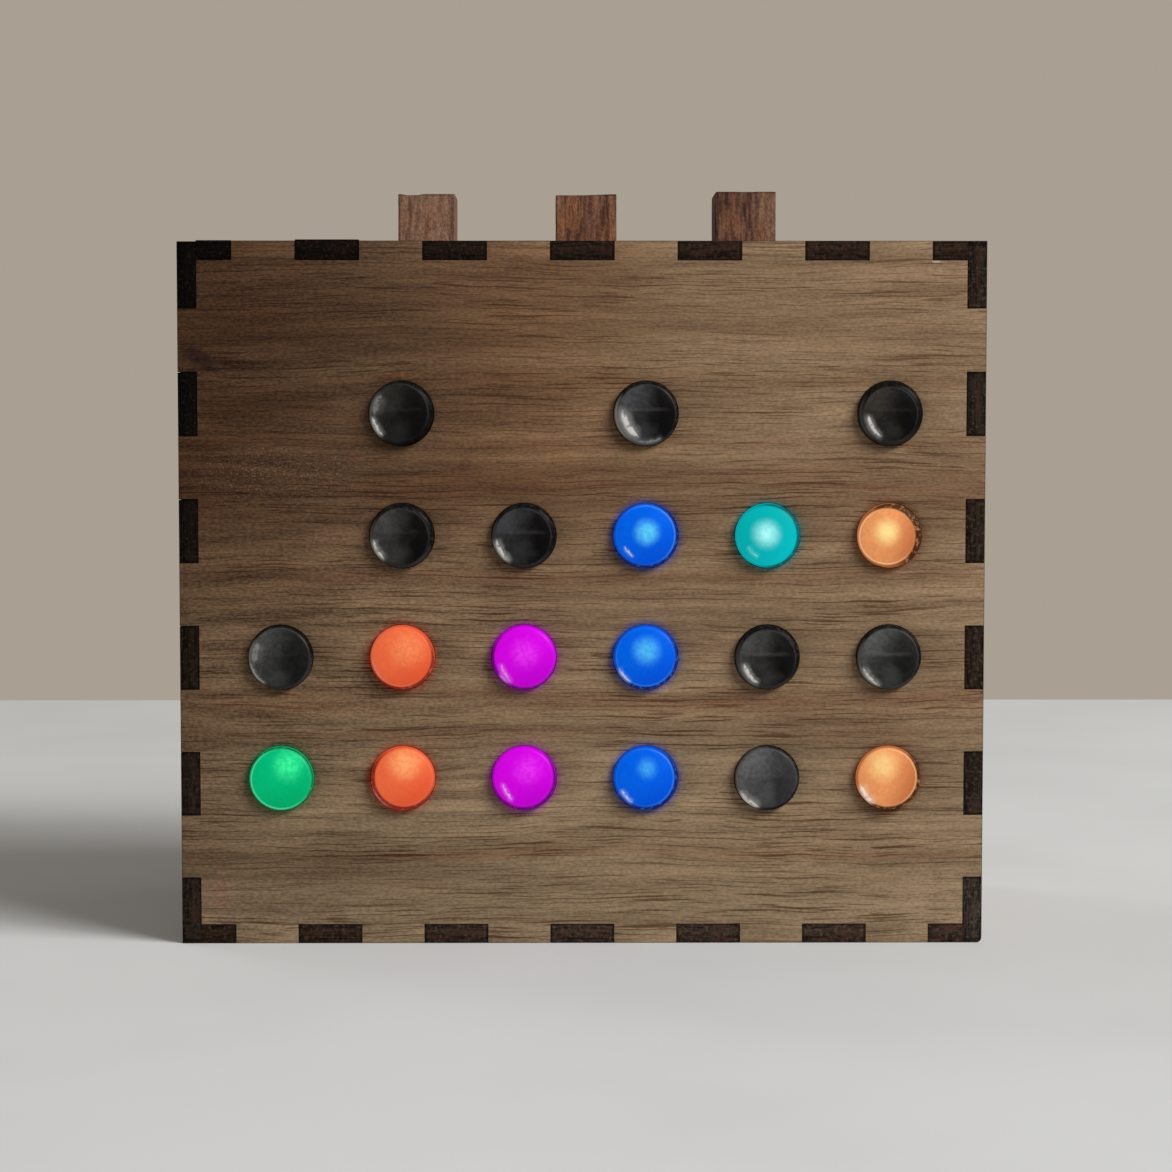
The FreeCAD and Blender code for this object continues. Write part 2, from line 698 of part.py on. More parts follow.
def coin_cell():
    """A steel coin cell with its smaller cap underneath."""
    r, t = CELL_RADIUS, CELL_THICKNESS
    outline = [
        (0, 0), (r - 2 * CELL_RIM, 0), (r - CELL_RIM, CELL_RIM), (r, CELL_RIM),
        (r, t - CELL_RIM), (r - CELL_RIM, t), (0, t),
    ]
    return turned(outline, vec(HOLDER_X, HOLDER_Y, MAIN_TOP + HOLDER_FLOOR), Z_AXIS)


def coin_cell_clip():
    """A strip of spring steel over the cell, with a leg down each side of the holder."""
    reach = clip_reach() + CLIP_THICKNESS / 2
    top = MAIN_TOP + HOLDER_HEIGHT
    half = CLIP_WIDTH / 2
    x = (HOLDER_X - half, HOLDER_X + half)
    bridge = block(x, (HOLDER_Y - reach, HOLDER_Y + reach), (top, top + CLIP_THICKNESS))
    legs = [
        standing(HOLDER_X, HOLDER_Y + side * clip_reach(), MAIN_TOP, CLIP_WIDTH, CLIP_THICKNESS,
                 HOLDER_HEIGHT)
        for side in (-1, 1)
    ]
    cell_top = MAIN_TOP + HOLDER_FLOOR + CELL_THICKNESS
    dimple = rod(CLIP_DIMPLE_RADIUS, top - cell_top, vec(HOLDER_X, HOLDER_Y, cell_top))
    return bridge.fuse(legs + [dimple]).removeSplitter()


def rounded_bar(width, height, back, front):
    """A bar along Y with half-round sides, centred on the power socket."""
    radius = height / 2
    reach = width / 2 - radius
    ends = [
        rod(radius, front - back, vec(side * reach, back, SOCKET_CENTRE_Z), Y_AXIS)
        for side in (-1, 1)
    ]
    middle = block((-reach, reach), (back, front),
                   (SOCKET_CENTRE_Z - radius, SOCKET_CENTRE_Z + radius))
    return middle.fuse(ends).removeSplitter()


def power_socket():
    """A USB-C receptacle: a steel shell, and the contact tongue in its mouth."""
    back = SOCKET_MOUTH - SOCKET_LENGTH
    shell = rounded_bar(SOCKET_WIDTH, SOCKET_HEIGHT, back, SOCKET_MOUTH)
    mouth = rounded_bar(SOCKET_WIDTH - 2 * SOCKET_SHELL, SOCKET_HEIGHT - 2 * SOCKET_SHELL,
                        SOCKET_MOUTH - SOCKET_MOUTH_DEPTH, SOCKET_MOUTH)
    half = SOCKET_TONGUE_WIDTH / 2
    tongue = block(
        (-half, half),
        (SOCKET_MOUTH - SOCKET_MOUTH_DEPTH, SOCKET_MOUTH - SOCKET_TONGUE_INSET),
        (SOCKET_CENTRE_Z - SOCKET_TONGUE_HEIGHT / 2, SOCKET_CENTRE_Z + SOCKET_TONGUE_HEIGHT / 2),
    )
    return shell.cut(mouth).fuse(tongue)


def receptacle():
    """An open four-way connector standing on a board, with its contacts inside."""
    outer = standing(0, 0, 0, RECEPTACLE_LENGTH, RECEPTACLE_WIDTH, RECEPTACLE_HEIGHT)
    inner = standing(0, 0, RECEPTACLE_FLOOR, RECEPTACLE_LENGTH - 2 * RECEPTACLE_WALL,
                     RECEPTACLE_WIDTH - 2 * RECEPTACLE_WALL, RECEPTACLE_HEIGHT)
    contacts = [
        standing(x, 0, RECEPTACLE_FLOOR, CONTACT_SIZE, CONTACT_SIZE, CONTACT_TOP - RECEPTACLE_FLOOR)
        for x in way_places()
    ]
    return outer.cut(inner).fuse(contacts)


def plug():
    """The matching plug, with a passage for each contact and each wire."""
    body = standing(0, 0, PLUG_BOTTOM, PLUG_LENGTH, PLUG_WIDTH, PLUG_HEIGHT)
    passages = [
        standing(x, 0, PLUG_BOTTOM, CONTACT_SIZE, CONTACT_SIZE, CONTACT_TOP - PLUG_BOTTOM)
        for x in way_places()
    ]
    return body.cut(passages)


def way_places():
    return [(i - (WAYS - 1) / 2) * WAY_PITCH for i in range(WAYS)]


def connector_seats():
    """Where the four connectors stand, and the angle about X that turns each from upright."""
    return [
        (vec(DISPLAY_CABLE_X, DISPLAY_BACK, DISPLAY_PLUG_Z), -90),
        (vec(DISPLAY_CABLE_X, display_drop_y(), MAIN_TOP), 0),
        (vec(BUTTON_CABLE_X, 0, BUTTON_BOARD_BOTTOM), 180),
        (vec(BUTTON_CABLE_X, BUTTON_CABLE_FOOT_Y, MAIN_TOP), 0),
    ]


def at_connectors(shape):
    """A copy of the shape at each connector, with its length kept along X."""
    placed = []
    for seat, angle in connector_seats():
        copy = shape.copy()
        copy.Placement = FreeCAD.Placement(seat, FreeCAD.Rotation(X_AXIS, angle))
        placed.append(copy)
    return placed


def display_drop_y():
    """Depth at which the display cable hangs down to the main board."""
    return DISPLAY_BACK + WIRE_TOP + DISPLAY_CABLE_REACH


def wire_run(corners, x):
    """A round wire through the corners, (y, z) pairs at one x. Each inner corner is a triple with
    the radius of its arc, tangent to the runs on both sides."""
    points = [vec(x, c[0], c[1]) for c in corners]
    edges = []
    start = points[0]
    for i in range(1, len(points) - 1):
        corner, radius = points[i], corners[i][2]
        before = (points[i - 1] - corner).normalize()
        after = (points[i + 1] - corner).normalize()
        half_angle = before.getAngle(after) / 2
        reach = radius / math.tan(half_angle)
        first, last = corner + before * reach, corner + after * reach
        bisector = (before + after).normalize()
        middle = corner + bisector * (radius / math.sin(half_angle) - radius)
        edges += [Part.LineSegment(start, first).toShape(), Part.Arc(first, middle, last).toShape()]
        start = last
    edges.append(Part.LineSegment(start, points[-1]).toShape())
    path = Part.Wire(edges)
    ring = Part.Wire(Part.makeCircle(WIRE_RADIUS, points[0], (points[1] - points[0]).normalize()))
    return path.makePipeShell([ring], True, False)


def display_cable():
    """From the back of the display board, back and down to the main board."""
    drop = display_drop_y()
    corners = [
        (DISPLAY_BACK + WIRE_TOP, DISPLAY_PLUG_Z),
        (drop, DISPLAY_PLUG_Z, DISPLAY_CABLE_BEND),
        (drop, MAIN_TOP + WIRE_TOP),
    ]
    return [wire_run(corners, DISPLAY_CABLE_X + x) for x in way_places()]


def button_cable():
    """From under the button board down to the main board, with a little slack in the middle."""
    head = BUTTON_BOARD_BOTTOM - WIRE_TOP
    foot = MAIN_TOP + WIRE_TOP
    corners = [
        (0, head),
        (0, head - BUTTON_CABLE_STRAIGHT, BUTTON_CABLE_BEND),
        (BUTTON_CABLE_SLACK, head - BUTTON_CABLE_SLACK_DROP, BUTTON_CABLE_BEND),
        (BUTTON_CABLE_FOOT_Y, foot + BUTTON_CABLE_STRAIGHT, BUTTON_CABLE_BEND),
        (BUTTON_CABLE_FOOT_Y, foot),
    ]
    return [wire_run(corners, BUTTON_CABLE_X + x) for x in way_places()]


def board_screws():
    """The same small screw in all three boards."""
    screws = [board_screw(vec(x, DISPLAY_BACK, z), Y_AXIS) for x, z in rear_screw_places()]
    screws += [board_screw(vec(x, y, MAIN_TOP), Z_AXIS) for x, y in main_hole_places()]
    screws += [board_screw(vec(x, 0, BUTTON_BOARD_BOTTOM), -Z_AXIS) for x in hanger_places()]
    return screws


def button_nodes():
    nodes = {}
    for name, x, width, top in buttons():
        shape = rounded_button if name == BUTTON_ROUNDED else button
        nodes[f"{name}_button"] = shape(x, width, top)
        nodes[f"{name}_button_collar"] = collar(x, width)
        nodes[f"{name}_switch_stem"] = switch_stem(x)
        nodes[f"{name}_switch_spring"] = switch_spring(x)
    return nodes


def all_nodes():
    nodes = {
        "front_panel": front_panel(),
        "back_panel": back_panel(),
        "top_panel": top_panel(),
        "bottom_panel": level_panel((0, PLY)),
        "left_side_panel": side_panel(-1),
        "right_side_panel": side_panel(1),
        "mounting_blocks": front_blocks() + rear_blocks() + [hanger(x) for x in hanger_places()],
        "back_panel_screws": [case_screw(x, z) for x, z in rear_screw_places()],
        "diffuser_sheet": baffle_outline(DIFFUSER_FRONT, DIFFUSER_THICKNESS),
        "light_baffle": light_baffle(),
        "display_board": display_board(),
        "display_leds": [led(x, z) for _, x, z in lamps()],
        "button_board": button_board(),
        "switch_housings": [switch_housing(x) for _, x, _, _ in buttons()],
        "main_board": main_board(),
        "main_board_standoffs": [standoff(x, y) for x, y in main_hole_places()],
        "board_screws": board_screws(),
        "microcontroller": chip(CHIP_X, CHIP_Y, CHIP_SIZE, CHIP_SIZE, CHIP_HEIGHT,
                                CHIP_LEADS_A_SIDE, 4),
        "real_time_clock_chip": chip(CLOCK_CHIP_X, CLOCK_CHIP_Y, CLOCK_CHIP_LENGTH,
                                     CLOCK_CHIP_WIDTH, CLOCK_CHIP_HEIGHT,
                                     CLOCK_CHIP_LEADS_A_SIDE, 2),
        "crystal": crystal(),
        "power_capacitor": power_capacitor(),
        "coin_cell_holder": coin_cell_holder(),
        "coin_cell": coin_cell(),
        "coin_cell_clip": coin_cell_clip(),
        "power_socket": power_socket(),
        "cable_sockets": at_connectors(receptacle()),
        "cable_plugs": at_connectors(plug()),
        "ribbon_cables": display_cable() + button_cable(),
    }
    nodes.update({name: lens(x, z) for name, x, z in lamps()})
    nodes.update(button_nodes())
    return nodes


def main():
    os.makedirs("parts", exist_ok=True)
    nodes = all_nodes()
    for name, shapes in nodes.items():
        solids = shapes if isinstance(shapes, list) else [shapes]
        shape = Part.makeCompound([s for piece in solids for s in piece.Solids])
        if not shape.isValid() or any(s.Volume <= 0 for s in shape.Solids):
            raise ValueError(f"{name} is not made of sound solids")
        shape.exportStep(f"parts/{name}.step")
        print(f"{name}: {len(shape.Solids)} solids, {shape.Volume:.1f} mm3")
    print(len(nodes), "nodes")


main()
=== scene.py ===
import math
from functools import reduce
from types import SimpleNamespace

import bmesh
import bpy
from mathutils import Matrix, Vector, noise


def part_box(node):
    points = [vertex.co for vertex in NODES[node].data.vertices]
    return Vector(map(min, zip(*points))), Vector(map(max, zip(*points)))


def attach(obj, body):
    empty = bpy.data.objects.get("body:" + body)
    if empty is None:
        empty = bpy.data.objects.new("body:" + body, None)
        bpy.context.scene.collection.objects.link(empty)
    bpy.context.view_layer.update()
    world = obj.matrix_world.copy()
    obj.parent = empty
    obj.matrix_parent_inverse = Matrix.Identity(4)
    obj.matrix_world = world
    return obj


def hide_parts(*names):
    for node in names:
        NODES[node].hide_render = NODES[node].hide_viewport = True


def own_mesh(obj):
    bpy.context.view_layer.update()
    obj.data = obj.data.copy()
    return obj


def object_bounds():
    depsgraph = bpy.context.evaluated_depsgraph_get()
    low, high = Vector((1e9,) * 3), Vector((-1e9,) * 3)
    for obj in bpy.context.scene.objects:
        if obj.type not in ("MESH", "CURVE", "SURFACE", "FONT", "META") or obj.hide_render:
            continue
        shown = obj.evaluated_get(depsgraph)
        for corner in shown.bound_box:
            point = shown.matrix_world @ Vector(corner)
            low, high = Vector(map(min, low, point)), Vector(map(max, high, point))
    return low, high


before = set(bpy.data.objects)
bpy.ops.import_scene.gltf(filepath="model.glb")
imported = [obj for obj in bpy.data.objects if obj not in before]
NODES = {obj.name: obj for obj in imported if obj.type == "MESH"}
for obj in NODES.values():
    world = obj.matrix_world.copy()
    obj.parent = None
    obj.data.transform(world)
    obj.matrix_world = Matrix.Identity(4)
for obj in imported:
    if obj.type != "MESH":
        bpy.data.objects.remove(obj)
cad_low, cad_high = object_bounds()

# A binary clock: a finger-jointed walnut plywood case, 20 domed lamp lenses and three wooden push
# buttons. Lengths are metres in the frame of the CAD model: +Z is up and the lamps face -Y.

MM = 0.001
PLY = 3.0 * MM
FINGER = 10.0 * MM

AXES = {"x": 0, "y": 1, "z": 2}
CASE = "case"

# Panels, and how far they have moved and worn
PANEL_EASE = 0.08 * MM
TOP_PROUD = 0.19 * MM
TOP_RISE = (-56 * MM, -44 * MM)
TOP_FALL = (-36 * MM, -28 * MM)
TOP_CUTS = 15
LEFT_SUNK = 0.14 * MM
WORN_RADIUS = 0.9 * MM
WORN_START = -30 * MM
WORN_LENGTH = 5
SCREW_HEAD_RADIUS = 2.7 * MM
SCREW_HOLE_RADIUS = 1.4 * MM
PLUG_SLOT = (13 * MM, 7 * MM, 1.5 * MM)

# Lenses
LENS_RADIUS = 5.05 * MM
LENS_PROUD = 2.2 * MM
LENS_CROWN_RADIUS = 4.4 * MM
LENS_CROWN_HEIGHT = 0.75 * MM
LENS_FLANGE_RADIUS = 6.2 * MM
LENS_FLANGE_THICKNESS = 1.0 * MM
LENS_HOLE_RADIUS = 5.10 * MM
LENS_SEGMENTS = 96
CROWN_RINGS = 14
SHOULDER_RINGS = 10

# Buttons and their switches
BUTTONS = ("left", "middle", "right")
BUTTON_EASE = 0.2 * MM
BUTTON_CLEARANCE = 0.25 * MM
BUTTON_WOBBLE = 0.045 * MM
BUTTON_CUTS = 39
ROWS_ON_EDGE = 2
ROUNDED_CORNER = 0.4 * MM
# Where the upper end was sanded lower: distance from the left side, half width and depth
BUTTON_DIPS = {
    "left": (2.3 * MM, 2.1 * MM, 0.19 * MM),
    "middle": (0.0, 11.0 * MM, 0.20 * MM),
    "right": (5.0 * MM, 2.0 * MM, 0.04 * MM),
}
STEM_SIZE = 3.3 * MM
STEM_HOLE_DEPTH = 4.0 * MM
SPRING_RADIUS = 2.0 * MM
SPRING_WIRE_RADIUS = 0.2 * MM
SPRING_TURNS = 5
SPRING_POINTS_A_TURN = 24


# ---------------------------------------------------------------- colours and node trees


def srgb(red, green, blue):
    """A colour as a screen shows it, 0 to 255 each, in the linear values that shaders take."""

    def linear(value):
        value /= 255
        return value / 12.92 if value <= 0.04045 else ((value + 0.055) / 1.055) ** 2.4

    return (linear(red), linear(green), linear(blue), 1.0)


def palette(**tones):
    return {name: srgb(*tone) for name, tone in tones.items()}


def scaled(colour, factor):
    """A colour times one factor, or times a factor for each of red, green and blue."""
    factors = factor if isinstance(factor, tuple) else (factor,) * 3
    return tuple(min(c * f, 1.0) for c, f in zip(colour, factors)) + (1.0,)


def unit(degrees):
    return math.cos(math.radians(degrees)), math.sin(math.radians(degrees))


class Value:
    """The output of a node, which adds, subtracts and multiplies like a number."""

    def __init__(self, graph, socket):
        self.graph = graph
        self.socket = socket

    def __add__(self, other):
        return self.graph.math("ADD", self, other)

    def __sub__(self, other):
        return self.graph.math("SUBTRACT", self, other)

    def __rsub__(self, other):
        return self.graph.math("SUBTRACT", other, self)

    def __mul__(self, other):
        return self.graph.math("MULTIPLY", self, other)

    def __abs__(self):
        return self.graph.math("ABSOLUTE", self)


class Graph:
    """The node tree of one material. It holds the colour so far, which paint and tint change."""

    def __init__(self, name):
        self.material = bpy.data.materials.new(name)
        self.material.use_nodes = True
        self.tree = self.material.node_tree
        self.tree.nodes.clear()
        self.place = self.node("TexCoord", {}, "Object")
        self.axis = {a: self.node("SeparateXYZ", {0: self.place}, i) for a, i in AXES.items()}
        self.x, self.y, self.z = self.axis.values()
        self.colour = None

    def node(self, kind, inputs, output=0, **settings):
        """Adds a node and gives one of its outputs."""
        node = self.tree.nodes.new("ShaderNode" + kind)
        for key, value in settings.items():
            setattr(node, key, value)
        for key, value in inputs.items():
            if isinstance(value, Value):
                self.tree.links.new(value.socket, node.inputs[key])
            else:
                node.inputs[key].default_value = value
        return Value(self, node.outputs[output])

    def math(self, operation, *values):
        return self.node("Math", dict(enumerate(values)), operation=operation)

    def most(self, a, b):
        return self.math("MAXIMUM", a, b)

    def least(self, a, b):
        return self.math("MINIMUM", a, b)

    def length(self, u, v):
        return self.math("SQRT", u * u + v * v)

    def point(self, x, y, z):
        return self.node("CombineXYZ", {0: x, 1: y, 2: z})

    def noise(self, *place, scale=1.0, detail=2.0, roughness=0.5):
        """Noise at a place, which is given as one vector or as x, y and z."""
        vector = place[0] if len(place) == 1 else self.point(*place)
        inputs = {"Vector": vector, "Scale": scale, "Detail": detail, "Roughness": roughness}
        return self.node("TexNoise", inputs, "Fac")

    def fade(self, value, low, high, to_low=0.0, to_high=1.0):
        """Smooth step of value from low to high."""
        inputs = {"Value": value, 1: low, 2: high, 3: to_low, 4: to_high}
        return self.node("MapRange", inputs, interpolation_type="SMOOTHSTEP")

    def hill(self, value, middle, width):
        """1 at middle, and smoothly down to 0 at width to each side."""
        return self.fade(abs(value - middle), 0.0, width, 1.0, 0.0)

    def mix(self, share, a, b, blend="MIX"):
        return self.node("Mix", {0: share, 6: a, 7: b}, 2, data_type="RGBA", blend_type=blend)

    def paint(self, share, colour):
        """Covers the colour so far with another, by share."""
        self.colour = self.mix(share, self.colour, colour)

    def tint(self, share, factor):
        """Multiplies the colour so far by another, by share."""
        self.colour = self.mix(share, self.colour, factor, "MULTIPLY")

    def bump(self, height, distance, strength):
        return self.node("Bump", {"Height": height, "Distance": distance, "Strength": strength})

    def finish(self, **inputs):
        """Ends the tree with a Principled shader. Names of inputs use _ for a space."""
        named = {name.replace("_", " "): value for name, value in inputs.items()}
        shader = self.node("BsdfPrincipled", {"Base Color": self.colour, **named})
        output = self.tree.nodes.new("ShaderNodeOutputMaterial")
        self.tree.links.new(shader.socket, output.inputs[0])
        return self.material


# ---------------------------------------------------------------- walnut

WALNUT = palette(light=(143, 123, 97), middle=(127, 106, 82), dark=(97, 77, 59))
SIDE_WALNUT = palette(light=(136, 114, 89), middle=(120, 98, 75), dark=(91, 71, 54))
PORE_TINT = (0.31, 0.20, 0.13, 1.0)
UPPER_TINT = (0.835, 0.765, 0.735, 1.0)
HEART_TINT = (0.285, 0.205, 0.160, 1.0)
WARM_TINT = (1.09, 0.98, 0.90, 1.0)
RED_TINT = (0.72, 0.50, 0.42, 1.0)
# Layers of streaks: scale along the grain and across it, detail, the noise at which a streak
# starts and is full, and an offset that gives the layer its own part of the noise
WALNUT_LAYERS = {
    "figure": (7, 55, 3.0, 0.32, 0.68, 0.0),
    "bands": (16, 420, 3.0, 0.38, 0.66, 7.0),
    "fibre": (330, 2500, 2.0, 0.34, 0.66, 2.0),
    "speck": (1400, 3400, 2.0, 0.36, 0.64, 41.0),
    "density": (20, 150, 2.0, 0.38, 0.60, 23.0),
    "stripes": (48, 600, 2.0, 0.36, 0.64, 31.0),
    "short_pores": (115, 3800, 1.0, 0.60, 0.64, 11.0),
    "long_pores": (50, 2700, 1.0, 0.615, 0.65, 17.0),
}
# Waves of the grain: scale along it and across it, offset and height
GRAIN_WAVES = ((17, 40, 0.0, 3.6 * MM), (95, 180, 3.1, 0.8 * MM))

# Where the heartwood at the upper left of the front ends to the right, and fades downwards
HEART_SIDE = (-64 * MM, 41 * MM)
HEART_FOOT = (50 * MM, 76 * MM)
# Reddish bands on the front: height and half width in millimetres, and strength
RED_BANDS = (
    (72, 7.0, 0.55), (88.5, 2.5, 0.35), (58.5, 2.2, 0.35), (38.6, 3.4, 0.64), (33.6, 1.3, 0.4),
    (14.3, 1.5, 0.5), (79.5, 1.4, 0.3),
)
# Marks on the front: middle (x, z) and half size in millimetres, turn, colour and strength
MARKS = (
    ((-60.2, 92.8), (3.4, 1.5), -34, (34, 18, 14), 0.75),
    ((-55.0, 92.0), (4.5, 1.2), -12, (60, 38, 28), 0.35),
    ((-30.5, 69.2), (2.4, 1.6), 20, (128, 80, 44), 0.10),
    ((-28.8, 89.9), (3.6, 0.6), 0, (120, 76, 44), 0.35),
    ((-20.5, 75.8), (5.0, 0.9), -8, (80, 52, 40), 0.35),
    ((-18.6, 75.9), (1.0, 1.6), -30, (74, 46, 36), 0.40),
    ((-36.0, 77.0), (1.5, 0.8), 0, (92, 56, 44), 0.35),
    ((-32.0, 26.5), (5.5, 0.9), 0, (66, 44, 30), 0.45),
    ((-14.0, 26.6), (7.0, 0.6), 0, (66, 44, 30), 0.45),
    ((-57.5, 8.0), (1.6, 3.4), 0, (124, 82, 66), 0.35),
    ((38.0, 35.5), (12.0, 0.8), -3, (84, 56, 42), 0.35),
    ((55.5, 107.9), (0.75, 0.35), 0, (158, 140, 126), 0.85),
    ((40.0, 97.0), (26.0, 3.6), 0, (100, 76, 54), 0.25),
    ((56.0, 104.5), (7.0, 3.0), 0, (100, 76, 54), 0.25),
    ((-6.0, 104.5), (19.0, 4.0), 0, (80, 58, 42), 0.32),
    ((-38.0, 15.5), (8.0, 4.0), 0, (84, 66, 48), 0.32),
    ((-27.0, 54.0), (13.0, 4.5), 0, (152, 126, 98), 0.20),
    ((57.0, 6.0), (8.0, 6.0), 0, (160, 138, 112), 0.22),
    ((-54.0, 6.5), (13.0, 6.0), 0, (158, 134, 108), 0.18),
)
DUST = ((-47, 74), (15, 5), 0, (128, 110, 92), 0.34)
HALO_WIDTH = 1.3 * MM
HALO_STRENGTH = 0.48


def third(u, v):
    """The axis that is square to two others."""
    return "xyz"[3 - AXES[u] - AXES[v]]


def layers(g, table, vector):
    """A mask for each layer of streaks in a table. vector gives the place in the noise, from the
    two scales and the offset."""
    masks = {}
    for name, (along, across, detail, low, high, offset) in table.items():
        masks[name] = g.fade(g.noise(*vector(along, across, offset), detail=detail), low, high)
    return SimpleNamespace(**masks)


def walnut(name, along, across, seed, tones, front=False):
    """Oiled walnut, with soft bands, fine fibre and short dark pores along the grain."""
    g = Graph(name)
    a, c = g.axis[along], g.axis[across]
    through = g.axis[third(along, across)] * 400 + seed
    waves = [(g.noise(a * ka, c * kc, seed + offset, detail=1.0) - 0.5) * height
             for ka, kc, offset, height in GRAIN_WAVES]
    c = c + (waves[0] + waves[1])
    wood = layers(g, WALNUT_LAYERS, lambda ka, kc, offset: (a * ka, c * kc, through + offset))

    g.colour = g.mix(wood.figure, tones["middle"], tones["light"])
    g.paint(wood.bands * 0.38, tones["dark"])
    light = wood.fibre * 0.18 + wood.speck * 0.30 + (wood.stripes - 0.5) * 0.20
    depth = g.most(wood.short_pores * (wood.density * 0.50 + 0.24),
                   wood.long_pores * (wood.density * 0.38 + 0.48))
    if front:
        front_marks(g, c)
        heart = g.fade(a, -64 * MM, 10 * MM, 0.27, 0.0) * g.fade(c, 10 * MM, 60 * MM, 0.35, 1.0)
        light = light + (wood.stripes + wood.speck - 1.0) * heart
        depth = depth * g.fade(c, 55 * MM, 95 * MM, 1.0, 0.84)
    g.tint(1.0, light + 0.81)
    g.tint(depth, PORE_TINT)
    return g.finish(Roughness=depth * 0.15 + g.fade(wood.fibre, 0.0, 1.0, 0.63, 0.55),
                    Normal=g.bump(wood.fibre * 0.3 - depth, 0.04 * MM, 0.7),
                    Specular_IOR_Level=0.10)


def front_marks(g, c):
    """Paints what only the front panel has. c is the place across the grain, with its waves."""
    shift = (g.noise(g.x * 16, c * 60, 4.0, detail=3.0) - 0.5) * (34 * MM)
    heartwood(g, shift)
    patchy = g.fade(g.noise(g.x * 26, c * 420, 72.0, detail=2.0), 0.3, 0.62, 0.15, 1.0)
    for middle, width, strength in RED_BANDS:
        band = g.hill(c + shift * 0.06, middle * MM, width * MM)
        g.tint(band * strength * patchy, RED_TINT)
    ragged = g.noise(g.place, scale=900.0, detail=2.0) - 0.5
    for mark in MARKS:
        blot(g, ragged, 1.0, *mark)
    specks = g.fade(g.noise(g.place, scale=3000.0, detail=2.0), 0.48, 0.70)
    blot(g, ragged, specks, *DUST)
    halos(g)


def heartwood(g, shift):
    """Darkens the wood towards the top, and paints the dark heartwood at the upper left and the
    warmer wood to the right of it.
    """
    g.tint(g.fade(g.z, 8 * MM, 60 * MM), UPPER_TINT)
    z = g.z + shift * 0.4
    push = g.fade(z, *HEART_FOOT, 30 * MM, 0.0) + g.hill(z, 90 * MM, 8 * MM) * (18 * MM)
    side = g.fade(g.x + (shift + push), *HEART_SIDE, 1.0, 0.0)
    height = g.fade(z, *HEART_FOOT, 0.74, 1.0) * g.fade(g.z, 3 * MM, 12 * MM, 0.62, 1.0)
    g.tint(side * height, HEART_TINT)
    g.tint(g.hill(g.x, -9 * MM, 30 * MM) * g.fade(g.z, 60 * MM, 78 * MM), WARM_TINT)


def blot(g, ragged, share, middle, size, turn, tone, strength):
    """Paints a soft, ragged ellipse on the front. Its middle and half size are in millimetres."""
    x, z = g.x - middle[0] * MM, g.z - middle[1] * MM
    cos, sin = unit(turn)
    u = (x * cos + z * sin) * (1 / (size[0] * MM))
    v = (z * cos - x * sin) * (1 / (size[1] * MM))
    inside = g.fade(g.length(u, v) + ragged, 0.55, 1.25, 1.0, 0.0)
    g.paint(inside * share * strength, srgb(*tone))


def halos(g):
    """Paints the light of the lit lamps, and a shadow at their rims tinted by it, on the wood just
    round them. The lit lamps of one plastic are in one column."""
    places = lens_places()
    for plastic, look in PLASTIC.items():
        lit = [places[node] for node, lamp in LIT.items() if lamp[0] == plastic]
        up = reduce(g.least, [abs(g.z - z) for _, z in lit])
        out = g.length(g.x - lit[0][0], up)
        share = g.fade(out, LENS_RADIUS, LENS_RADIUS + HALO_WIDTH, HALO_STRENGTH, 0.0)
        g.paint(share, look["halo"])


# ---------------------------------------------------------------- charred edges

CORE = (2.0, 2.12, 1.96)
EMBER = (2.125, 1.445, 1.445)
# The char is blackest at the clock's upper left, partly its own tone and partly painted shade,
# as the light comes from the right: axis, two places on it and the factor at each
SHADES = {
    "left_side_panel": ("z", -10 * MM, 98 * MM, (2.6, 2.5, 2.6, 1.0), (0.20, 0.22, 0.20, 1.0)),
    "right_side_panel": ("z", 5 * MM, 30 * MM, (1.45, 1.75, 1.80, 1.0), (0.82, 0.84, 0.74, 1.0)),
    "top_panel": ("x", -66 * MM, 34 * MM, (0.12, 0.12, 0.12, 1.0), (1.80, 1.90, 1.85, 1.0)),
    "bottom_panel": ("x", -66 * MM, 10 * MM, (0.72, 0.65, 0.45, 1.0), (1.48, 1.58, 1.40, 1.0)),
}


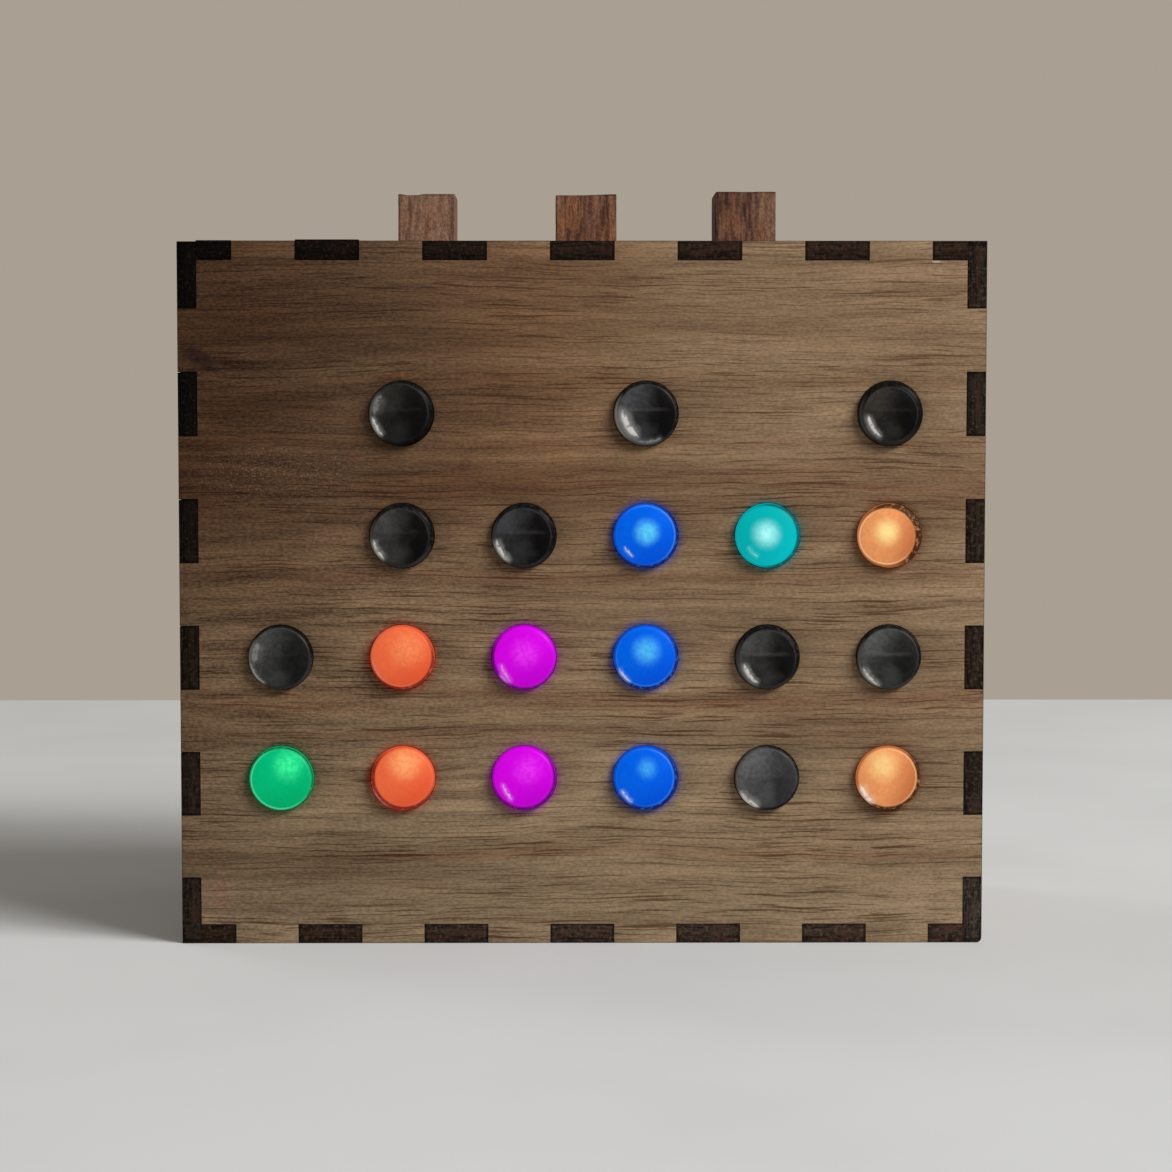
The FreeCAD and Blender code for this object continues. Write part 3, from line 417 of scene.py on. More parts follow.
def burnt(name, thickness, start, along, first, tone, seed, shade):
    """The laser-cut edge of a plywood panel: charred, with the lines of its three plies.
    thickness names the axis through the panel, and start is where the panel begins on it. The
    fingers end at first and every FINGER from there along the edge, and are blacker there. shade
    is how the tone changes over the panel, as in SHADES, or None."""
    g = Graph(name)
    length = g.axis[along]
    wobble = g.noise(length * 220, seed, 0.0, detail=2.0)
    through = (g.axis[thickness] - start) * (1 / PLY) + (wobble - 0.5) * 0.12
    fibre = g.noise(length * 300, through * 11, seed, detail=3.0)
    char = g.noise(g.place, scale=1700.0, detail=3.0, roughness=0.65)
    cloud = g.noise(length * 300, through * 3, seed + 5, detail=2.0)

    g.colour = g.mix(g.fade(fibre, 0.36, 0.66), scaled(tone, 0.36), scaled(tone, 1.65))
    core = g.hill(through, 0.60, 0.28) * g.fade(cloud, 0.35, 0.65, 0.2, 0.75)
    g.paint(core, scaled(tone, CORE))
    glue = g.most(g.hill(through, 0.36, 0.05), g.hill(through, 0.64, 0.04))
    g.paint(glue * g.fade(wobble, 0.40, 0.62) * 0.30, scaled(tone, 3.2))
    g.paint(g.fade(char, 0.53, 0.66, 0.0, 0.80), scaled(tone, 4.0))
    g.paint(g.fade(char, 0.47, 0.34, 0.0, 0.90), scaled(tone, 0.25))
    g.paint(g.fade(cloud, 0.50, 0.68, 0.0, 0.6), scaled(tone, EMBER))
    # Dark line round each finger's end: char of the cut, and painted shade in the joint's gap
    rim = g.fade(abs(through - 0.5), 0.42, 0.51, 0.0, 0.55)
    step = g.math("FRACT", (length - first) * (1 / FINGER))
    end = g.fade(abs(step - 0.5), 0.455, 0.485, 0.0, 0.75)
    g.paint(g.most(rim, end), scaled(tone, 0.3))
    if shade:
        axis, near, far, near_factor, far_factor = shade
        g.tint(1.0, g.mix(g.fade(g.axis[axis], near, far), near_factor, far_factor))
    g.paint(g.fade(char, 0.55, 0.68, 0.0, 0.55), scaled(tone, 3.0))
    return g.finish(Roughness=g.fade(char, 0.3, 0.7, 0.65, 0.85),
                    Normal=g.bump(fibre * 0.6 + char * 0.8, 0.06 * MM, 0.6),
                    Specular_IOR_Level=0.04)


# ---------------------------------------------------------------- lenses

# Tones of each plastic: its disc and the darker low side of it, hot spot, rim, darkened as painted
# shade, painted light and shadow on the wood round the lamp, bright line and painted highlights
PLASTIC = {
    "green": palette(body=(0, 188, 121), low=(0, 171, 105), hot=(60, 250, 160), rim=(16, 78, 42),
                     halo=(22, 92, 52), line=(92, 222, 162), streak=(110, 230, 175)),
    "red": palette(body=(238, 106, 64), low=(223, 87, 51), hot=(255, 178, 116), rim=(128, 34, 20),
                   halo=(138, 58, 40), line=(222, 120, 100), streak=(220, 140, 130)),
    "magenta": palette(body=(215, 4, 229), low=(192, 0, 208), hot=(236, 60, 246), rim=(96, 4, 112),
                       halo=(134, 20, 134), line=(196, 40, 206), streak=(244, 170, 250)),
    "blue": palette(body=(0, 98, 232), low=(0, 80, 214), hot=(98, 218, 252), rim=(18, 26, 104),
                    halo=(28, 60, 140), line=(70, 150, 240), streak=(205, 222, 255)),
    "teal": palette(body=(2, 177, 179), low=(2, 184, 191), hot=(168, 252, 253), rim=(0, 84, 92),
                    halo=(12, 104, 106), line=(30, 196, 192), streak=(130, 236, 226)),
    "orange": palette(body=(238, 156, 97), low=(188, 107, 62), hot=(255, 226, 148),
                      rim=(58, 28, 6), halo=(92, 58, 36), line=(248, 190, 142),
                      streak=(255, 232, 216)),
}
# Tones of the dark lenses: the black of their painted shade, and painted highlights and
# reflections
SMOKED = palette(black=(8, 7, 7), streak=(224, 223, 218), band=(164, 154, 142),
                 sheen=(104, 100, 98))
NO_LIGHT = (0.0, 0.0, 0.0, 1.0)
# Which way a lit lens darkens: share of right and share of down
SHADE_WAY = (0.6, 0.8)
SHADE_WAYS = {"orange": (0.95, 0.25)}
LIT_EMISSION = 0.70
WALL_EMISSION = 0.8
LIT_PAINT = (0.30, 0.30, 0.30, 1.0)
# How brightly the painted highlights of the dark lenses glow
HIGHLIGHT_EMISSION = 0.18
LENS_GLOSS = 0.04

# Places on a lens are in lens radii, x to the right and z up for someone who faces it. Directions
# are in degrees from the right, towards up. A disc is (middle, radius, direction in which its rim
# is dark, a painted shade). Streaks of light, which are painted highlights, if any, end a row. A
# streak is (radius of the circle it lies on, half width, middle and half length in degrees,
# strength, middle of the circle unless it is the lens's).
# Lamps that are lit, which show 13:37:45: plastic, hot spot (middle, reach, strength, how broken
# up it is), disc, and bright line round the disc (direction and strength)
LIT = {
    "hour_tens_lens_1": (
        "green", ((0.24, 0.44), 0.64, 0.9, 0.5), ((0.01, 0.0), 0.975, 60), (215, 1.0),
    ),
    "hour_units_lens_2": (
        "red", ((0.16, 0.28), 0.8, 0.35, 0.5), ((-0.02, 0.03), 0.96, 290), (205, 0.7),
        (0.9, 0.05, 208, 26, 0.3),
    ),
    "hour_units_lens_1": (
        "red", ((0.08, 0.5), 0.72, 0.78, 0.4), ((0.05, 0.05), 0.935, 235), (330, 0.35),
        (0.985, 0.05, 222, 28, 0.7),
    ),
    "minute_tens_lens_2": (
        "magenta", ((0.04, 0.14), 0.6, 0.7, 0.6), ((0.02, 0.02), 0.97, 240), (310, 0.3),
        (1.16, 0.065, 219, 26, 0.6, (0.4, 0.1)), (0.93, 0.05, 226, 14, 0.45),
    ),
    "minute_tens_lens_1": (
        "magenta", ((0.1, 0.28), 0.6, 0.66, 0.6), ((-0.02, 0.05), 0.955, 300), (290, 0.2),
        (1.15, 0.055, 216, 27, 0.9, (0.45, 0.15)),
    ),
    "minute_units_lens_4": (
        "blue", ((0.02, 0.12), 0.54, 0.9, 0.3), ((-0.02, 0.02), 0.96, 330), (30, 0.5),
        (0.86, 0.045, 222, 18, 0.7, (0.1, 0.05)),
    ),
    "minute_units_lens_2": (
        "blue", ((0.02, 0.22), 0.6, 0.62, 0.3), ((-0.01, 0.03), 0.955, 300), (250, 0.4),
        (0.9, 0.06, 220, 20, 0.7),
    ),
    "minute_units_lens_1": (
        "blue", ((0.04, 0.34), 0.44, 0.4, 0.3), ((-0.03, 0.04), 0.945, 310), (5, 0.4),
        (0.95, 0.06, 222, 20, 0.85, (0.12, 0.05)),
    ),
    "second_tens_lens_4": (
        "teal", ((-0.06, 0.06), 0.58, 1.0, 0.2), ((-0.04, 0.0), 0.95, 5), (225, 0.5),
        (0.92, 0.06, 226, 20, 0.75, (0.2, 0.1)),
    ),
    "second_units_lens_4": (
        "orange", ((-0.12, 0.12), 0.56, 1.0, 0.15), ((-0.1, -0.02), 0.9, 30), (212, 1.0),
    ),
    "second_units_lens_1": (
        "orange", ((-0.2, 0.42), 0.66, 0.62, 0.15), ((-0.04, 0.04), 0.94, 310), (20, 0.55),
        (0.9, 0.11, 216, 26, 0.95),
    ),
}
# The other lamps, which are dark: tone of their pale side, which is painted lit, how black the
# painted shade on the other side is, disc, strength of the painted reflection of the horizon, and
# how light the band at the left of the rim is, a painted highlight
DARK = {
    "hour_units_lens_8": (
        (49, 48, 45), 1.0, ((-0.05, 0.02), 0.92, 10), 0.15, 0.35,
        (0.89, 0.085, 208, 24, 0.85), (0.82, 0.16, 160, 26, 0.2),
    ),
    "minute_units_lens_8": (
        (75, 76, 79), 1.0, ((0.02, -0.02), 0.93, 60), 0.5, 0.9,
        (1.0, 0.15, 210, 46, 0.85, (0.28, 0.12)), (0.9, 0.08, 275, 30, 0.22),
    ),
    "second_units_lens_8": (
        (60, 57, 53), 1.0, ((-0.01, -0.02), 0.86, 60), 0.2, 0.15,
        (0.93, 0.085, 216, 34, 0.8, (0.2, 0.06)),
    ),
    "hour_units_lens_4": (
        (73, 72, 70), 1.0, ((-0.02, -0.03), 0.9, 70), 0.15, 0.25,
        (0.93, 0.085, 211, 25, 0.85, (0.05, 0.0)),
    ),
    "minute_tens_lens_4": (
        (66, 66, 69), 1.0, ((-0.02, -0.02), 0.9, 60), 0.4, 0.15,
        (0.97, 0.1, 215, 29, 0.9, (0.1, 0.02)),
    ),
    "hour_tens_lens_2": (
        (76, 76, 76), 0.92, ((0.0, 0.0), 0.95, 90), 0.1, 0.55,
        (0.8, 0.16, 168, 26, 0.2), (0.93, 0.06, 215, 28, 0.35),
    ),
    "second_tens_lens_2": (
        (76, 76, 75), 0.97, ((0.0, -0.02), 0.9, 60), 0.6, 0.15,
        (0.95, 0.09, 222, 30, 0.88, (0.18, 0.02)),
    ),
    "second_units_lens_2": (
        (87, 88, 87), 0.9, ((0.0, 0.0), 0.92, 60), 0.55, 0.35,
        (0.95, 0.09, 226, 28, 0.8, (0.08, 0.0)),
    ),
    "second_tens_lens_1": (
        (99, 99, 101), 0.79, ((-0.01, 0.02), 0.95, 0), 0.1, 0.45,
        (0.92, 0.12, 230, 27, 0.85),
    ),
}


class LensGraph(Graph):
    """A material graph with the places on a lens that both kinds of lens are painted by."""

    def __init__(self, name, seed):
        super().__init__(name)
        self.across = self.x * (1 / LENS_RADIUS)
        self.up = self.z * (1 / LENS_RADIUS)
        self.out = self.length(self.across, self.up)
        self.inverse = self.math("DIVIDE", 1.0, self.most(self.out, 0.01))
        self.own = self.point(self.x + seed * LENS_RADIUS, self.y, self.z)
        self.mottle = self.noise(self.own, scale=1500.0, detail=3.0, roughness=0.6)
        self.cloud = self.noise(self.own, scale=420.0, detail=2.0)

    def away(self, at):
        return self.length(self.across - at[0], self.up - at[1])

    def facing(self, degrees):
        """Cosine of the angle between the direction from the middle and another."""
        cos, sin = unit(degrees)
        return (self.across * cos + self.up * sin) * self.inverse

    def spot(self, at, reach, ragged):
        away = self.away(at) + (self.cloud - 0.5) * ragged
        return self.fade(away, 0.08 * reach, reach, 1.0, 0.0)

    def streak(self, radius, width, degrees, spread, strength, middle=(0.0, 0.0)):
        """A painted highlight: a soft, uneven crescent of light that thins out to both ends."""
        off = abs(self.away(middle) + (self.mottle - 0.5) * 0.14 - radius)
        near = self.fade(self.facing(degrees), unit(spread * 1.15)[0], unit(spread * 0.35)[0])
        core = self.fade(off + (1.0 - near) * width, width * 0.25, width, strength, 0.0)
        core = core * self.fade(self.mottle, 0.34, 0.56, 0.45, 1.0)
        glow = self.fade(off, 0.0, width * 2.4, strength * 0.36, 0.0) * near
        return self.most(core, glow)

    def polish(self, **inputs):
        scratch = self.noise(self.own, scale=2400.0, detail=3.0)
        height = self.noise(self.own, scale=700.0, detail=2.0)
        return self.finish(Roughness=self.fade(scratch, 0.3, 0.7, 0.30, 0.42),
                           Normal=self.bump(height, 0.02 * MM, 0.3),
                           Specular_IOR_Level=LENS_GLOSS, **inputs)


def lit_lens(node, seed, plastic, hot, disc, line, *streaks):
    """Coloured plastic: a disc that glows from the LED behind it, a fine bright line where it
    ends, and a darker clear shoulder round it, with painted shade on one side and painted
    highlights at the lower left. Its wall lets light out on to the wood."""
    g = LensGraph(node + "_lit", seed)
    look = PLASTIC[plastic]
    at, reach, strength, broken = hot
    middle, radius, shaded_way = disc
    line_way, line_strength = line
    right, down = SHADE_WAYS.get(plastic, SHADE_WAY)
    shade = g.across * right - g.up * down
    g.colour = g.mix(g.fade(shade, -0.2, 0.9), look["body"], look["low"])
    g.paint(g.fade(g.mottle, 0.35, 0.65, 0.18, 0.0), scaled(look["low"], 0.8))
    grainy = g.fade(g.mottle, 0.32, 0.62, 1.0 - broken, 1.0)
    g.paint(g.spot(at, reach, 0.4 * broken) * (grainy * strength), look["hot"])

    # The rim: painted shade, darkest on one side
    out = g.away(middle) + (g.mottle - 0.5) * 0.03
    rim = g.mix(g.fade(g.mottle, 0.52, 0.66, 0.0, 0.30), look["rim"], look["line"])
    rim = g.mix(g.fade(g.facing(shaded_way), 0.3, -0.6, 0.0, 0.75), rim, look["low"])
    g.paint(g.fade(out, radius - 0.07, radius + 0.015, 0.0, 0.95), rim)
    towards = g.fade(g.facing(line_way), -0.55, 0.75, 0.10, line_strength)
    g.paint(g.hill(out, radius - 0.045, 0.045) * towards, look["line"])
    # Painted highlights, which glow with the rest of the lens
    for streak in streaks:
        g.paint(g.streak(*streak), look["streak"])
    wall = g.fade(g.out, 0.992, 0.9995)
    shine = g.mix(wall, g.colour, look["low"])
    g.tint(1.0, LIT_PAINT)
    return g.polish(Emission_Color=shine,
                    Emission_Strength=g.fade(wall, 0.0, 1.0, LIT_EMISSION, WALL_EMISSION))


def smoked_lens(node, seed, tone, depth, disc, horizon, band, *streaks):
    """Dark plastic, its light and shade painted: grey at the left where it catches the light,
    darker by depth at the right, with a faint painted reflection of the level line where the table
    ends, darker below it, and white painted highlights at the lower left, which glow."""
    g = LensGraph(node + "_smoked", seed)
    light = srgb(*tone)
    middle, radius, shaded_way = disc
    # Painted light and shade: pale at the left, black by depth at the right
    shade = g.across - g.up * 0.08 + (g.cloud - 0.5) * 0.6
    g.colour = g.mix(g.fade(shade, -0.95, 0.50, 0.0, depth), light, SMOKED["black"])
    # Painted reflection: darker below the level line
    below = g.fade(g.up, 0.13, 0.02) * g.fade(g.out, 0.98, 0.5)
    g.paint(below * (0.2 + 0.5 * horizon), SMOKED["black"])
    g.tint(1.0, g.fade(g.mottle, 0.34, 0.66, 0.83, 1.18))
    # Painted light low on the lens
    g.paint(g.spot((0.0, -0.58), 0.50, 0.5) * 0.30, light)
    # Painted reflection of the level line where the table ends
    level = g.hill(g.up + (g.cloud - 0.5) * 0.10, 0.12, 0.10) * g.fade(g.out, 0.85, 0.35)
    g.paint(level * (0.20 * horizon), SMOKED["sheen"])

    # The rim: painted shade, darkest on one side
    out = g.away(middle) + (g.mottle - 0.5) * 0.03
    rim = g.mix(g.fade(g.mottle, 0.46, 0.68, 0.0, 0.2), SMOKED["black"], light)
    rim = g.mix(g.fade(g.facing(shaded_way), 0.2, -0.8, 0.0, 0.6), rim, light)
    g.paint(g.fade(out, radius - 0.05, radius + 0.03, 0.0, 0.92), rim)
    # Painted highlight on the rim at the upper right
    edge = g.hill(out, radius - 0.03, 0.04) * g.fade(g.facing(35), 0.3, 0.95, 0.02, 0.13)
    g.paint(edge, SMOKED["sheen"])
    # Painted highlight: the light band at the left of the rim
    side = g.hill(g.out, 0.95, 0.06) * g.fade(g.facing(190), 0.60, 0.97)
    g.paint(side * band, SMOKED["band"])
    # Painted highlights, which also glow
    highlights = [g.streak(*streak) for streak in streaks]
    for highlight in highlights:
        g.paint(highlight, SMOKED["streak"])
    glow = g.mix(reduce(g.most, highlights), NO_LIGHT, SMOKED["streak"])
    return g.polish(Emission_Color=glow, Emission_Strength=HIGHLIGHT_EMISSION)


def lens_profile():
    """(radius, height) from the middle of the crown round to the middle of the flange's back."""
    sphere = (LENS_CROWN_RADIUS**2 + LENS_CROWN_HEIGHT**2) / (2 * LENS_CROWN_HEIGHT)
    slope = math.asin(LENS_CROWN_RADIUS / sphere)
    shoulder = (LENS_RADIUS - LENS_CROWN_RADIUS) / (1 - math.sin(slope))
    centre_radius = LENS_RADIUS - shoulder
    centre_height = LENS_PROUD - LENS_CROWN_HEIGHT - shoulder * math.cos(slope)
    points = []
    for i in range(1, CROWN_RINGS + 1):
        angle = slope * i / CROWN_RINGS
        points.append((sphere * math.sin(angle), LENS_PROUD - sphere * (1 - math.cos(angle))))
    for i in range(1, SHOULDER_RINGS + 1):
        angle = slope + (math.pi / 2 - slope) * i / SHOULDER_RINGS
        points.append((centre_radius + shoulder * math.sin(angle),
                       centre_height + shoulder * math.cos(angle)))
    back = -PLY - LENS_FLANGE_THICKNESS
    return points + [(LENS_RADIUS, -PLY), (LENS_FLANGE_RADIUS, -PLY), (LENS_FLANGE_RADIUS, back),
                     (LENS_RADIUS / 2, back)]


def lens_mesh():
    """The lens about its own origin, which is on the front of the panel, with its dome to -Y."""
    bm = bmesh.new()
    profile = lens_profile()
    top = bm.verts.new((0, -LENS_PROUD, 0))
    rings = [[bm.verts.new((u, -height, v)) for u, v in circle(0, 0, radius, LENS_SEGMENTS)]
             for radius, height in profile]
    end = bm.verts.new((0, -profile[-1][1], 0))
    for k in range(LENS_SEGMENTS):
        after = (k + 1) % LENS_SEGMENTS
        bm.faces.new((top, rings[0][k], rings[0][after]))
        bm.faces.new((end, rings[-1][after], rings[-1][k]))
        for inner, outer in zip(rings[:-1], rings[1:]):
            bm.faces.new((inner[k], outer[k], outer[after], inner[after]))
    return mesh_from(bm, "lens")


def lens_places():
    """The (x, z) of each lens's middle."""
    places = {}
    for name in NODES:
        if "_lens_" in name:
            middle = centre(name)
            places[name] = (middle.x, middle.z)
    return places


def make_lenses():
    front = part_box("front_panel")[0].y
    for seed, (node, (x, z)) in enumerate(lens_places().items()):
        if node in LIT:
            material = lit_lens(node, seed, *LIT[node])
        else:
            material = smoked_lens(node, seed, *DARK[node])
        piece(node + "_dome", lens_mesh(), [material], CASE, node, (x, front, z))


# ---------------------------------------------------------------- meshes


def centre(node):
    low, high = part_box(node)
    return (low + high) / 2


def add_object(name, data):
    made = bpy.data.objects.new(name, data)
    bpy.context.scene.collection.objects.link(made)
    return made


def mesh_from(bm, name):
    """Ends a bmesh: normals outward, smooth faces with their sharp edges kept."""
    bmesh.ops.recalc_face_normals(bm, faces=bm.faces)
    mesh = bpy.data.meshes.new(name)
    bm.to_mesh(mesh)
    bm.free()
    mesh.shade_smooth()
    mesh.set_sharp_from_angle(angle=math.radians(32))
    return mesh


def piece(name, mesh, materials, body, node, place=(0, 0, 0)):
    """A piece of the visual model that stands for one CAD node and rides on its body."""
    made = add_object(name, mesh)
    made.location = place
    for material in materials:
        mesh.materials.append(material)
    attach(made, body)
    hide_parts(node)
    return made


def curve_mesh(name, curve):
    """The mesh of a curve, welded where its parts meet."""
    holder = add_object(name, curve)
    bpy.context.view_layer.update()
    mesh = bpy.data.meshes.new_from_object(holder)
    bpy.data.objects.remove(holder)
    bm = bmesh.new()
    bm.from_mesh(mesh)
    bmesh.ops.remove_doubles(bm, verts=bm.verts, dist=1e-7)
    bpy.data.meshes.remove(mesh)
    return bm


def segments(length):
    """The finger joint along an edge: an odd number of whole fingers in the middle, and what is
    left at each corner."""
    count = int((length - 2 * PLY) // FINGER)
    count -= 1 - count % 2
    first = -count * FINGER / 2
    marks = [-length / 2] + [first + i * FINGER for i in range(count + 1)] + [length / 2]
    return list(zip(marks[:-1], marks[1:]))


def toothed(length, height, notched_u, notched_v):
    """The outline of a finger-jointed panel about its centre. notched_u says whether the even (0)
    or odd (1) segments of the two edges along u are cut back, and notched_v the same for v."""
    half_u, half_v = length / 2, height / 2

    def depth(i, parity):
        return PLY if i % 2 == parity else 0.0

    corner_u, corner_v = half_u - depth(0, notched_v), depth(0, notched_u) - half_v
    low, right = [], []
    for i, ends in enumerate(segments(length)):
        low += [(u, depth(i, notched_u) - half_v) for u in ends]
    for i, ends in enumerate(segments(height)):
        right += [(half_u - depth(i, notched_v), v) for v in ends]
    outline = [(-corner_u, corner_v)] + low[1:-1] + [(corner_u, corner_v)] + right[1:-1]
    return outline + [(-u, -v) for u, v in outline]


def circle(u, v, radius, points=72):
    turns = [2 * math.pi * i / points for i in range(points)]
    return [(u + radius * math.cos(t), v + radius * math.sin(t)) for t in turns]


def rectangle(u, v, width, height, corner=0.0, points=6):
    """A rectangle about (u, v), with rounded corners if corner is given."""
    if not corner:
        return [(u + i * width / 2, v + j * height / 2) for i, j in
                ((-1, -1), (1, -1), (1, 1), (-1, 1))]
    loop = []
    for quarter, (i, j) in enumerate(((1, 1), (-1, 1), (-1, -1), (1, -1))):
        for k in range(points + 1):
            turn = math.pi / 2 * (quarter + k / points)
            loop.append((u + i * (width / 2 - corner) + corner * math.cos(turn),
                         v + j * (height / 2 - corner) + corner * math.sin(turn)))
    return loop


def plate(name, loops, low, high, u, v, bend):
    """A plywood panel with eased edges. u and v name the axes of its loops, the outline and the
    holes, which are about the middle of the box from low to high. Its broad faces take the first
    material, and its cut and eased edges the second. bend, if given, moves its points at the
    end."""
    through = AXES[third(u, v)]
    curve = bpy.data.curves.new(name, "CURVE")
    curve.dimensions = "2D"
    curve.fill_mode = "BOTH"
    curve.extrude = (high[through] - low[through]) / 2 - PANEL_EASE
    curve.bevel_depth = PANEL_EASE
    curve.offset = -PANEL_EASE
    curve.bevel_resolution = 1
    for loop in loops:
        spline = curve.splines.new("POLY")
        spline.points.add(len(loop) - 1)
        for point, (pu, pv) in zip(spline.points, loop):
            point.co = (pu, pv, 0.0, 1.0)
        spline.use_cyclic_u = True
    bm = curve_mesh(name, curve)
    turn = Matrix.Identity(4)
    for row, column in ((AXES[u], 0), (AXES[v], 1), (through, 2)):
        for k in range(3):
            turn[row][k] = 1.0 if k == column else 0.0
    middle = (Vector(low) + Vector(high)) / 2
    bmesh.ops.transform(bm, matrix=Matrix.Translation(middle) @ turn, verts=bm.verts)
    bmesh.ops.recalc_face_normals(bm, faces=bm.faces)
    for face in bm.faces:
        face.material_index = 0 if abs(face.normal[through]) > 0.99 else 1
    if bend:
        bend(bm)
    return mesh_from(bm, name)


# ---------------------------------------------------------------- the case


def smooth(value, low, high):
    share = min(max((value - low) / (high - low), 0.0), 1.0)
    return share * share * (3 - 2 * share)


def slice_mesh(bm, axis, places):
    """Cuts the faces where they cross planes that are square to an axis."""
    normal = Vector([1.0 if i == AXES[axis] else 0.0 for i in range(3)])
    for place in places:
        geometry = bm.verts[:] + bm.edges[:] + bm.faces[:]
        bmesh.ops.bisect_plane(bm, geom=geometry, plane_co=normal * place, plane_no=normal)


def bowed(bm):
    """The left end of the top panel stands a hair proud of the front panel."""
    slice_mesh(bm, "x", [TOP_RISE[0] + 2 * i * MM for i in range(TOP_CUTS)])
    for vert in bm.verts:
        rise = 0.3 + 0.7 * smooth(vert.co.x, *TOP_RISE)
        vert.co.z += TOP_PROUD * rise * (1 - smooth(vert.co.x, *TOP_FALL))


def sunk(bm):
    """The left panel sits a hair low."""
    for vert in bm.verts:
        vert.co.z -= LEFT_SUNK * vert.co.z / cad_high.z


def worn(bm):
    """The lower front corner of the right panel is worn round."""
    steps = (1.0, 0.75, 0.53, 0.34, 0.19, 0.07)
    slice_mesh(bm, "x", [cad_high.x - WORN_RADIUS * step for step in steps])
    slice_mesh(bm, "z", [WORN_RADIUS * step for step in steps])
    slice_mesh(bm, "y", [WORN_START + i * MM for i in range(1, WORN_LENGTH + 1)])
    for vert in bm.verts:
        away = Vector((vert.co.x - cad_high.x + WORN_RADIUS, 0, vert.co.z - WORN_RADIUS))
        if away.x > 0 > away.z and away.length > WORN_RADIUS:
            share = 1 - smooth(vert.co.y, WORN_START, WORN_START + WORN_LENGTH * MM)
            vert.co -= away.normalized() * (away.length - WORN_RADIUS) * share


# Axes of the outline, of which the first is the grain's, whether the even (0) or odd (1) segments
# along each are cut back, tone of the char, darker at the left partly as painted shade, and seed
PANELS = {
    "front_panel": ("x", "z", 0, 0, (34, 24, 18), 2.0),
    "back_panel": ("x", "z", 0, 0, (34, 24, 18), 31.0),
    "left_side_panel": ("y", "z", 1, 1, (17, 12, 8), 47.0),
    "right_side_panel": ("y", "z", 1, 1, (37, 29, 24), 59.0),
    "top_panel": ("x", "y", 1, 0, (23, 14, 10), 71.0),
    "bottom_panel": ("x", "y", 1, 0, (37, 27, 24), 83.0),
}
BENDS = {"top_panel": bowed, "left_side_panel": sunk, "right_side_panel": worn}


def panel_holes(node, middle):
    """The holes in a panel, about its middle."""
    if node == "front_panel":
        return [circle(x - middle.x, z - middle.z, LENS_HOLE_RADIUS)
                for x, z in lens_places().values()]
    if node == "back_panel":
        slot = rectangle(0, centre("power_socket").z - middle.z, *PLUG_SLOT)
        return [slot] + [circle(x - middle.x, z - middle.z, SCREW_HOLE_RADIUS, 24)
                         for x, z in screw_places()]
    if node == "top_panel":
        return [button_hole(name + "_button", middle) for name in BUTTONS]
    return []


def button_hole(node, middle):
    low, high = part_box(node)
    place = centre(node) - middle
    size = high - low
    return rectangle(place.x, place.y, size.x + 2 * BUTTON_CLEARANCE,
                     size.y + 2 * BUTTON_CLEARANCE)


def screw_places():
    """Centres of the four case screws, (x, z), from the corners of their box."""
    low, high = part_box("back_panel_screws")
    return [(x, z) for x in (low.x + SCREW_HEAD_RADIUS, high.x - SCREW_HEAD_RADIUS)
            for z in (low.z + SCREW_HEAD_RADIUS, high.z - SCREW_HEAD_RADIUS)]


def make_case():
    for node, (u, v, cut_u, cut_v, char, seed) in PANELS.items():
        low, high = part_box(node)
        middle, size = centre(node), high - low
        front = node == "front_panel"
        loops = [toothed(size[AXES[u]], size[AXES[v]], cut_u, cut_v)] + panel_holes(node, middle)
        mesh = plate(node + "_plywood", loops, low, high, u, v, BENDS.get(node))
        through = third(u, v)
        edge = "z" if v == "z" else "x"
        materials = [
            walnut(node + "_veneer", u, v, seed, WALNUT if front else SIDE_WALNUT, front),
            burnt(node + "_edge", through, low[AXES[through]], edge,
                  middle[AXES[edge]] - FINGER / 2, srgb(*char), seed, SHADES.get(node)),
        ]
        piece(node + "_plywood", mesh, materials, CASE, node)


# ---------------------------------------------------------------- buttons

BUTTON_TONES = {
    "left": palette(light=(142, 114, 93), middle=(121, 91, 74), dark=(103, 74, 62),
                    warm=(122, 84, 62), edge=(70, 48, 36)),
    "middle": palette(light=(132, 96, 76), middle=(112, 76, 58), dark=(66, 40, 28),
                      warm=(126, 78, 46), edge=(44, 26, 18)),
    "right": palette(light=(136, 102, 80), middle=(86, 58, 48), dark=(46, 27, 25),
                     warm=(122, 80, 52), edge=(44, 28, 22)),
}
PURPLE_TINT = (0.80, 0.72, 0.80, 1.0)
# As WALNUT_LAYERS
BUTTON_LAYERS = {
    "columns": (40, 560, 3.0, 0.40, 0.60, 3.0),
    "fibre": (240, 1600, 3.0, 0.36, 0.64, 9.0),
    "speck": (2200, 2900, 2.0, 0.36, 0.64, 15.0),
    "patches": (150, 420, 2.0, 0.48, 0.66, 21.0),
}


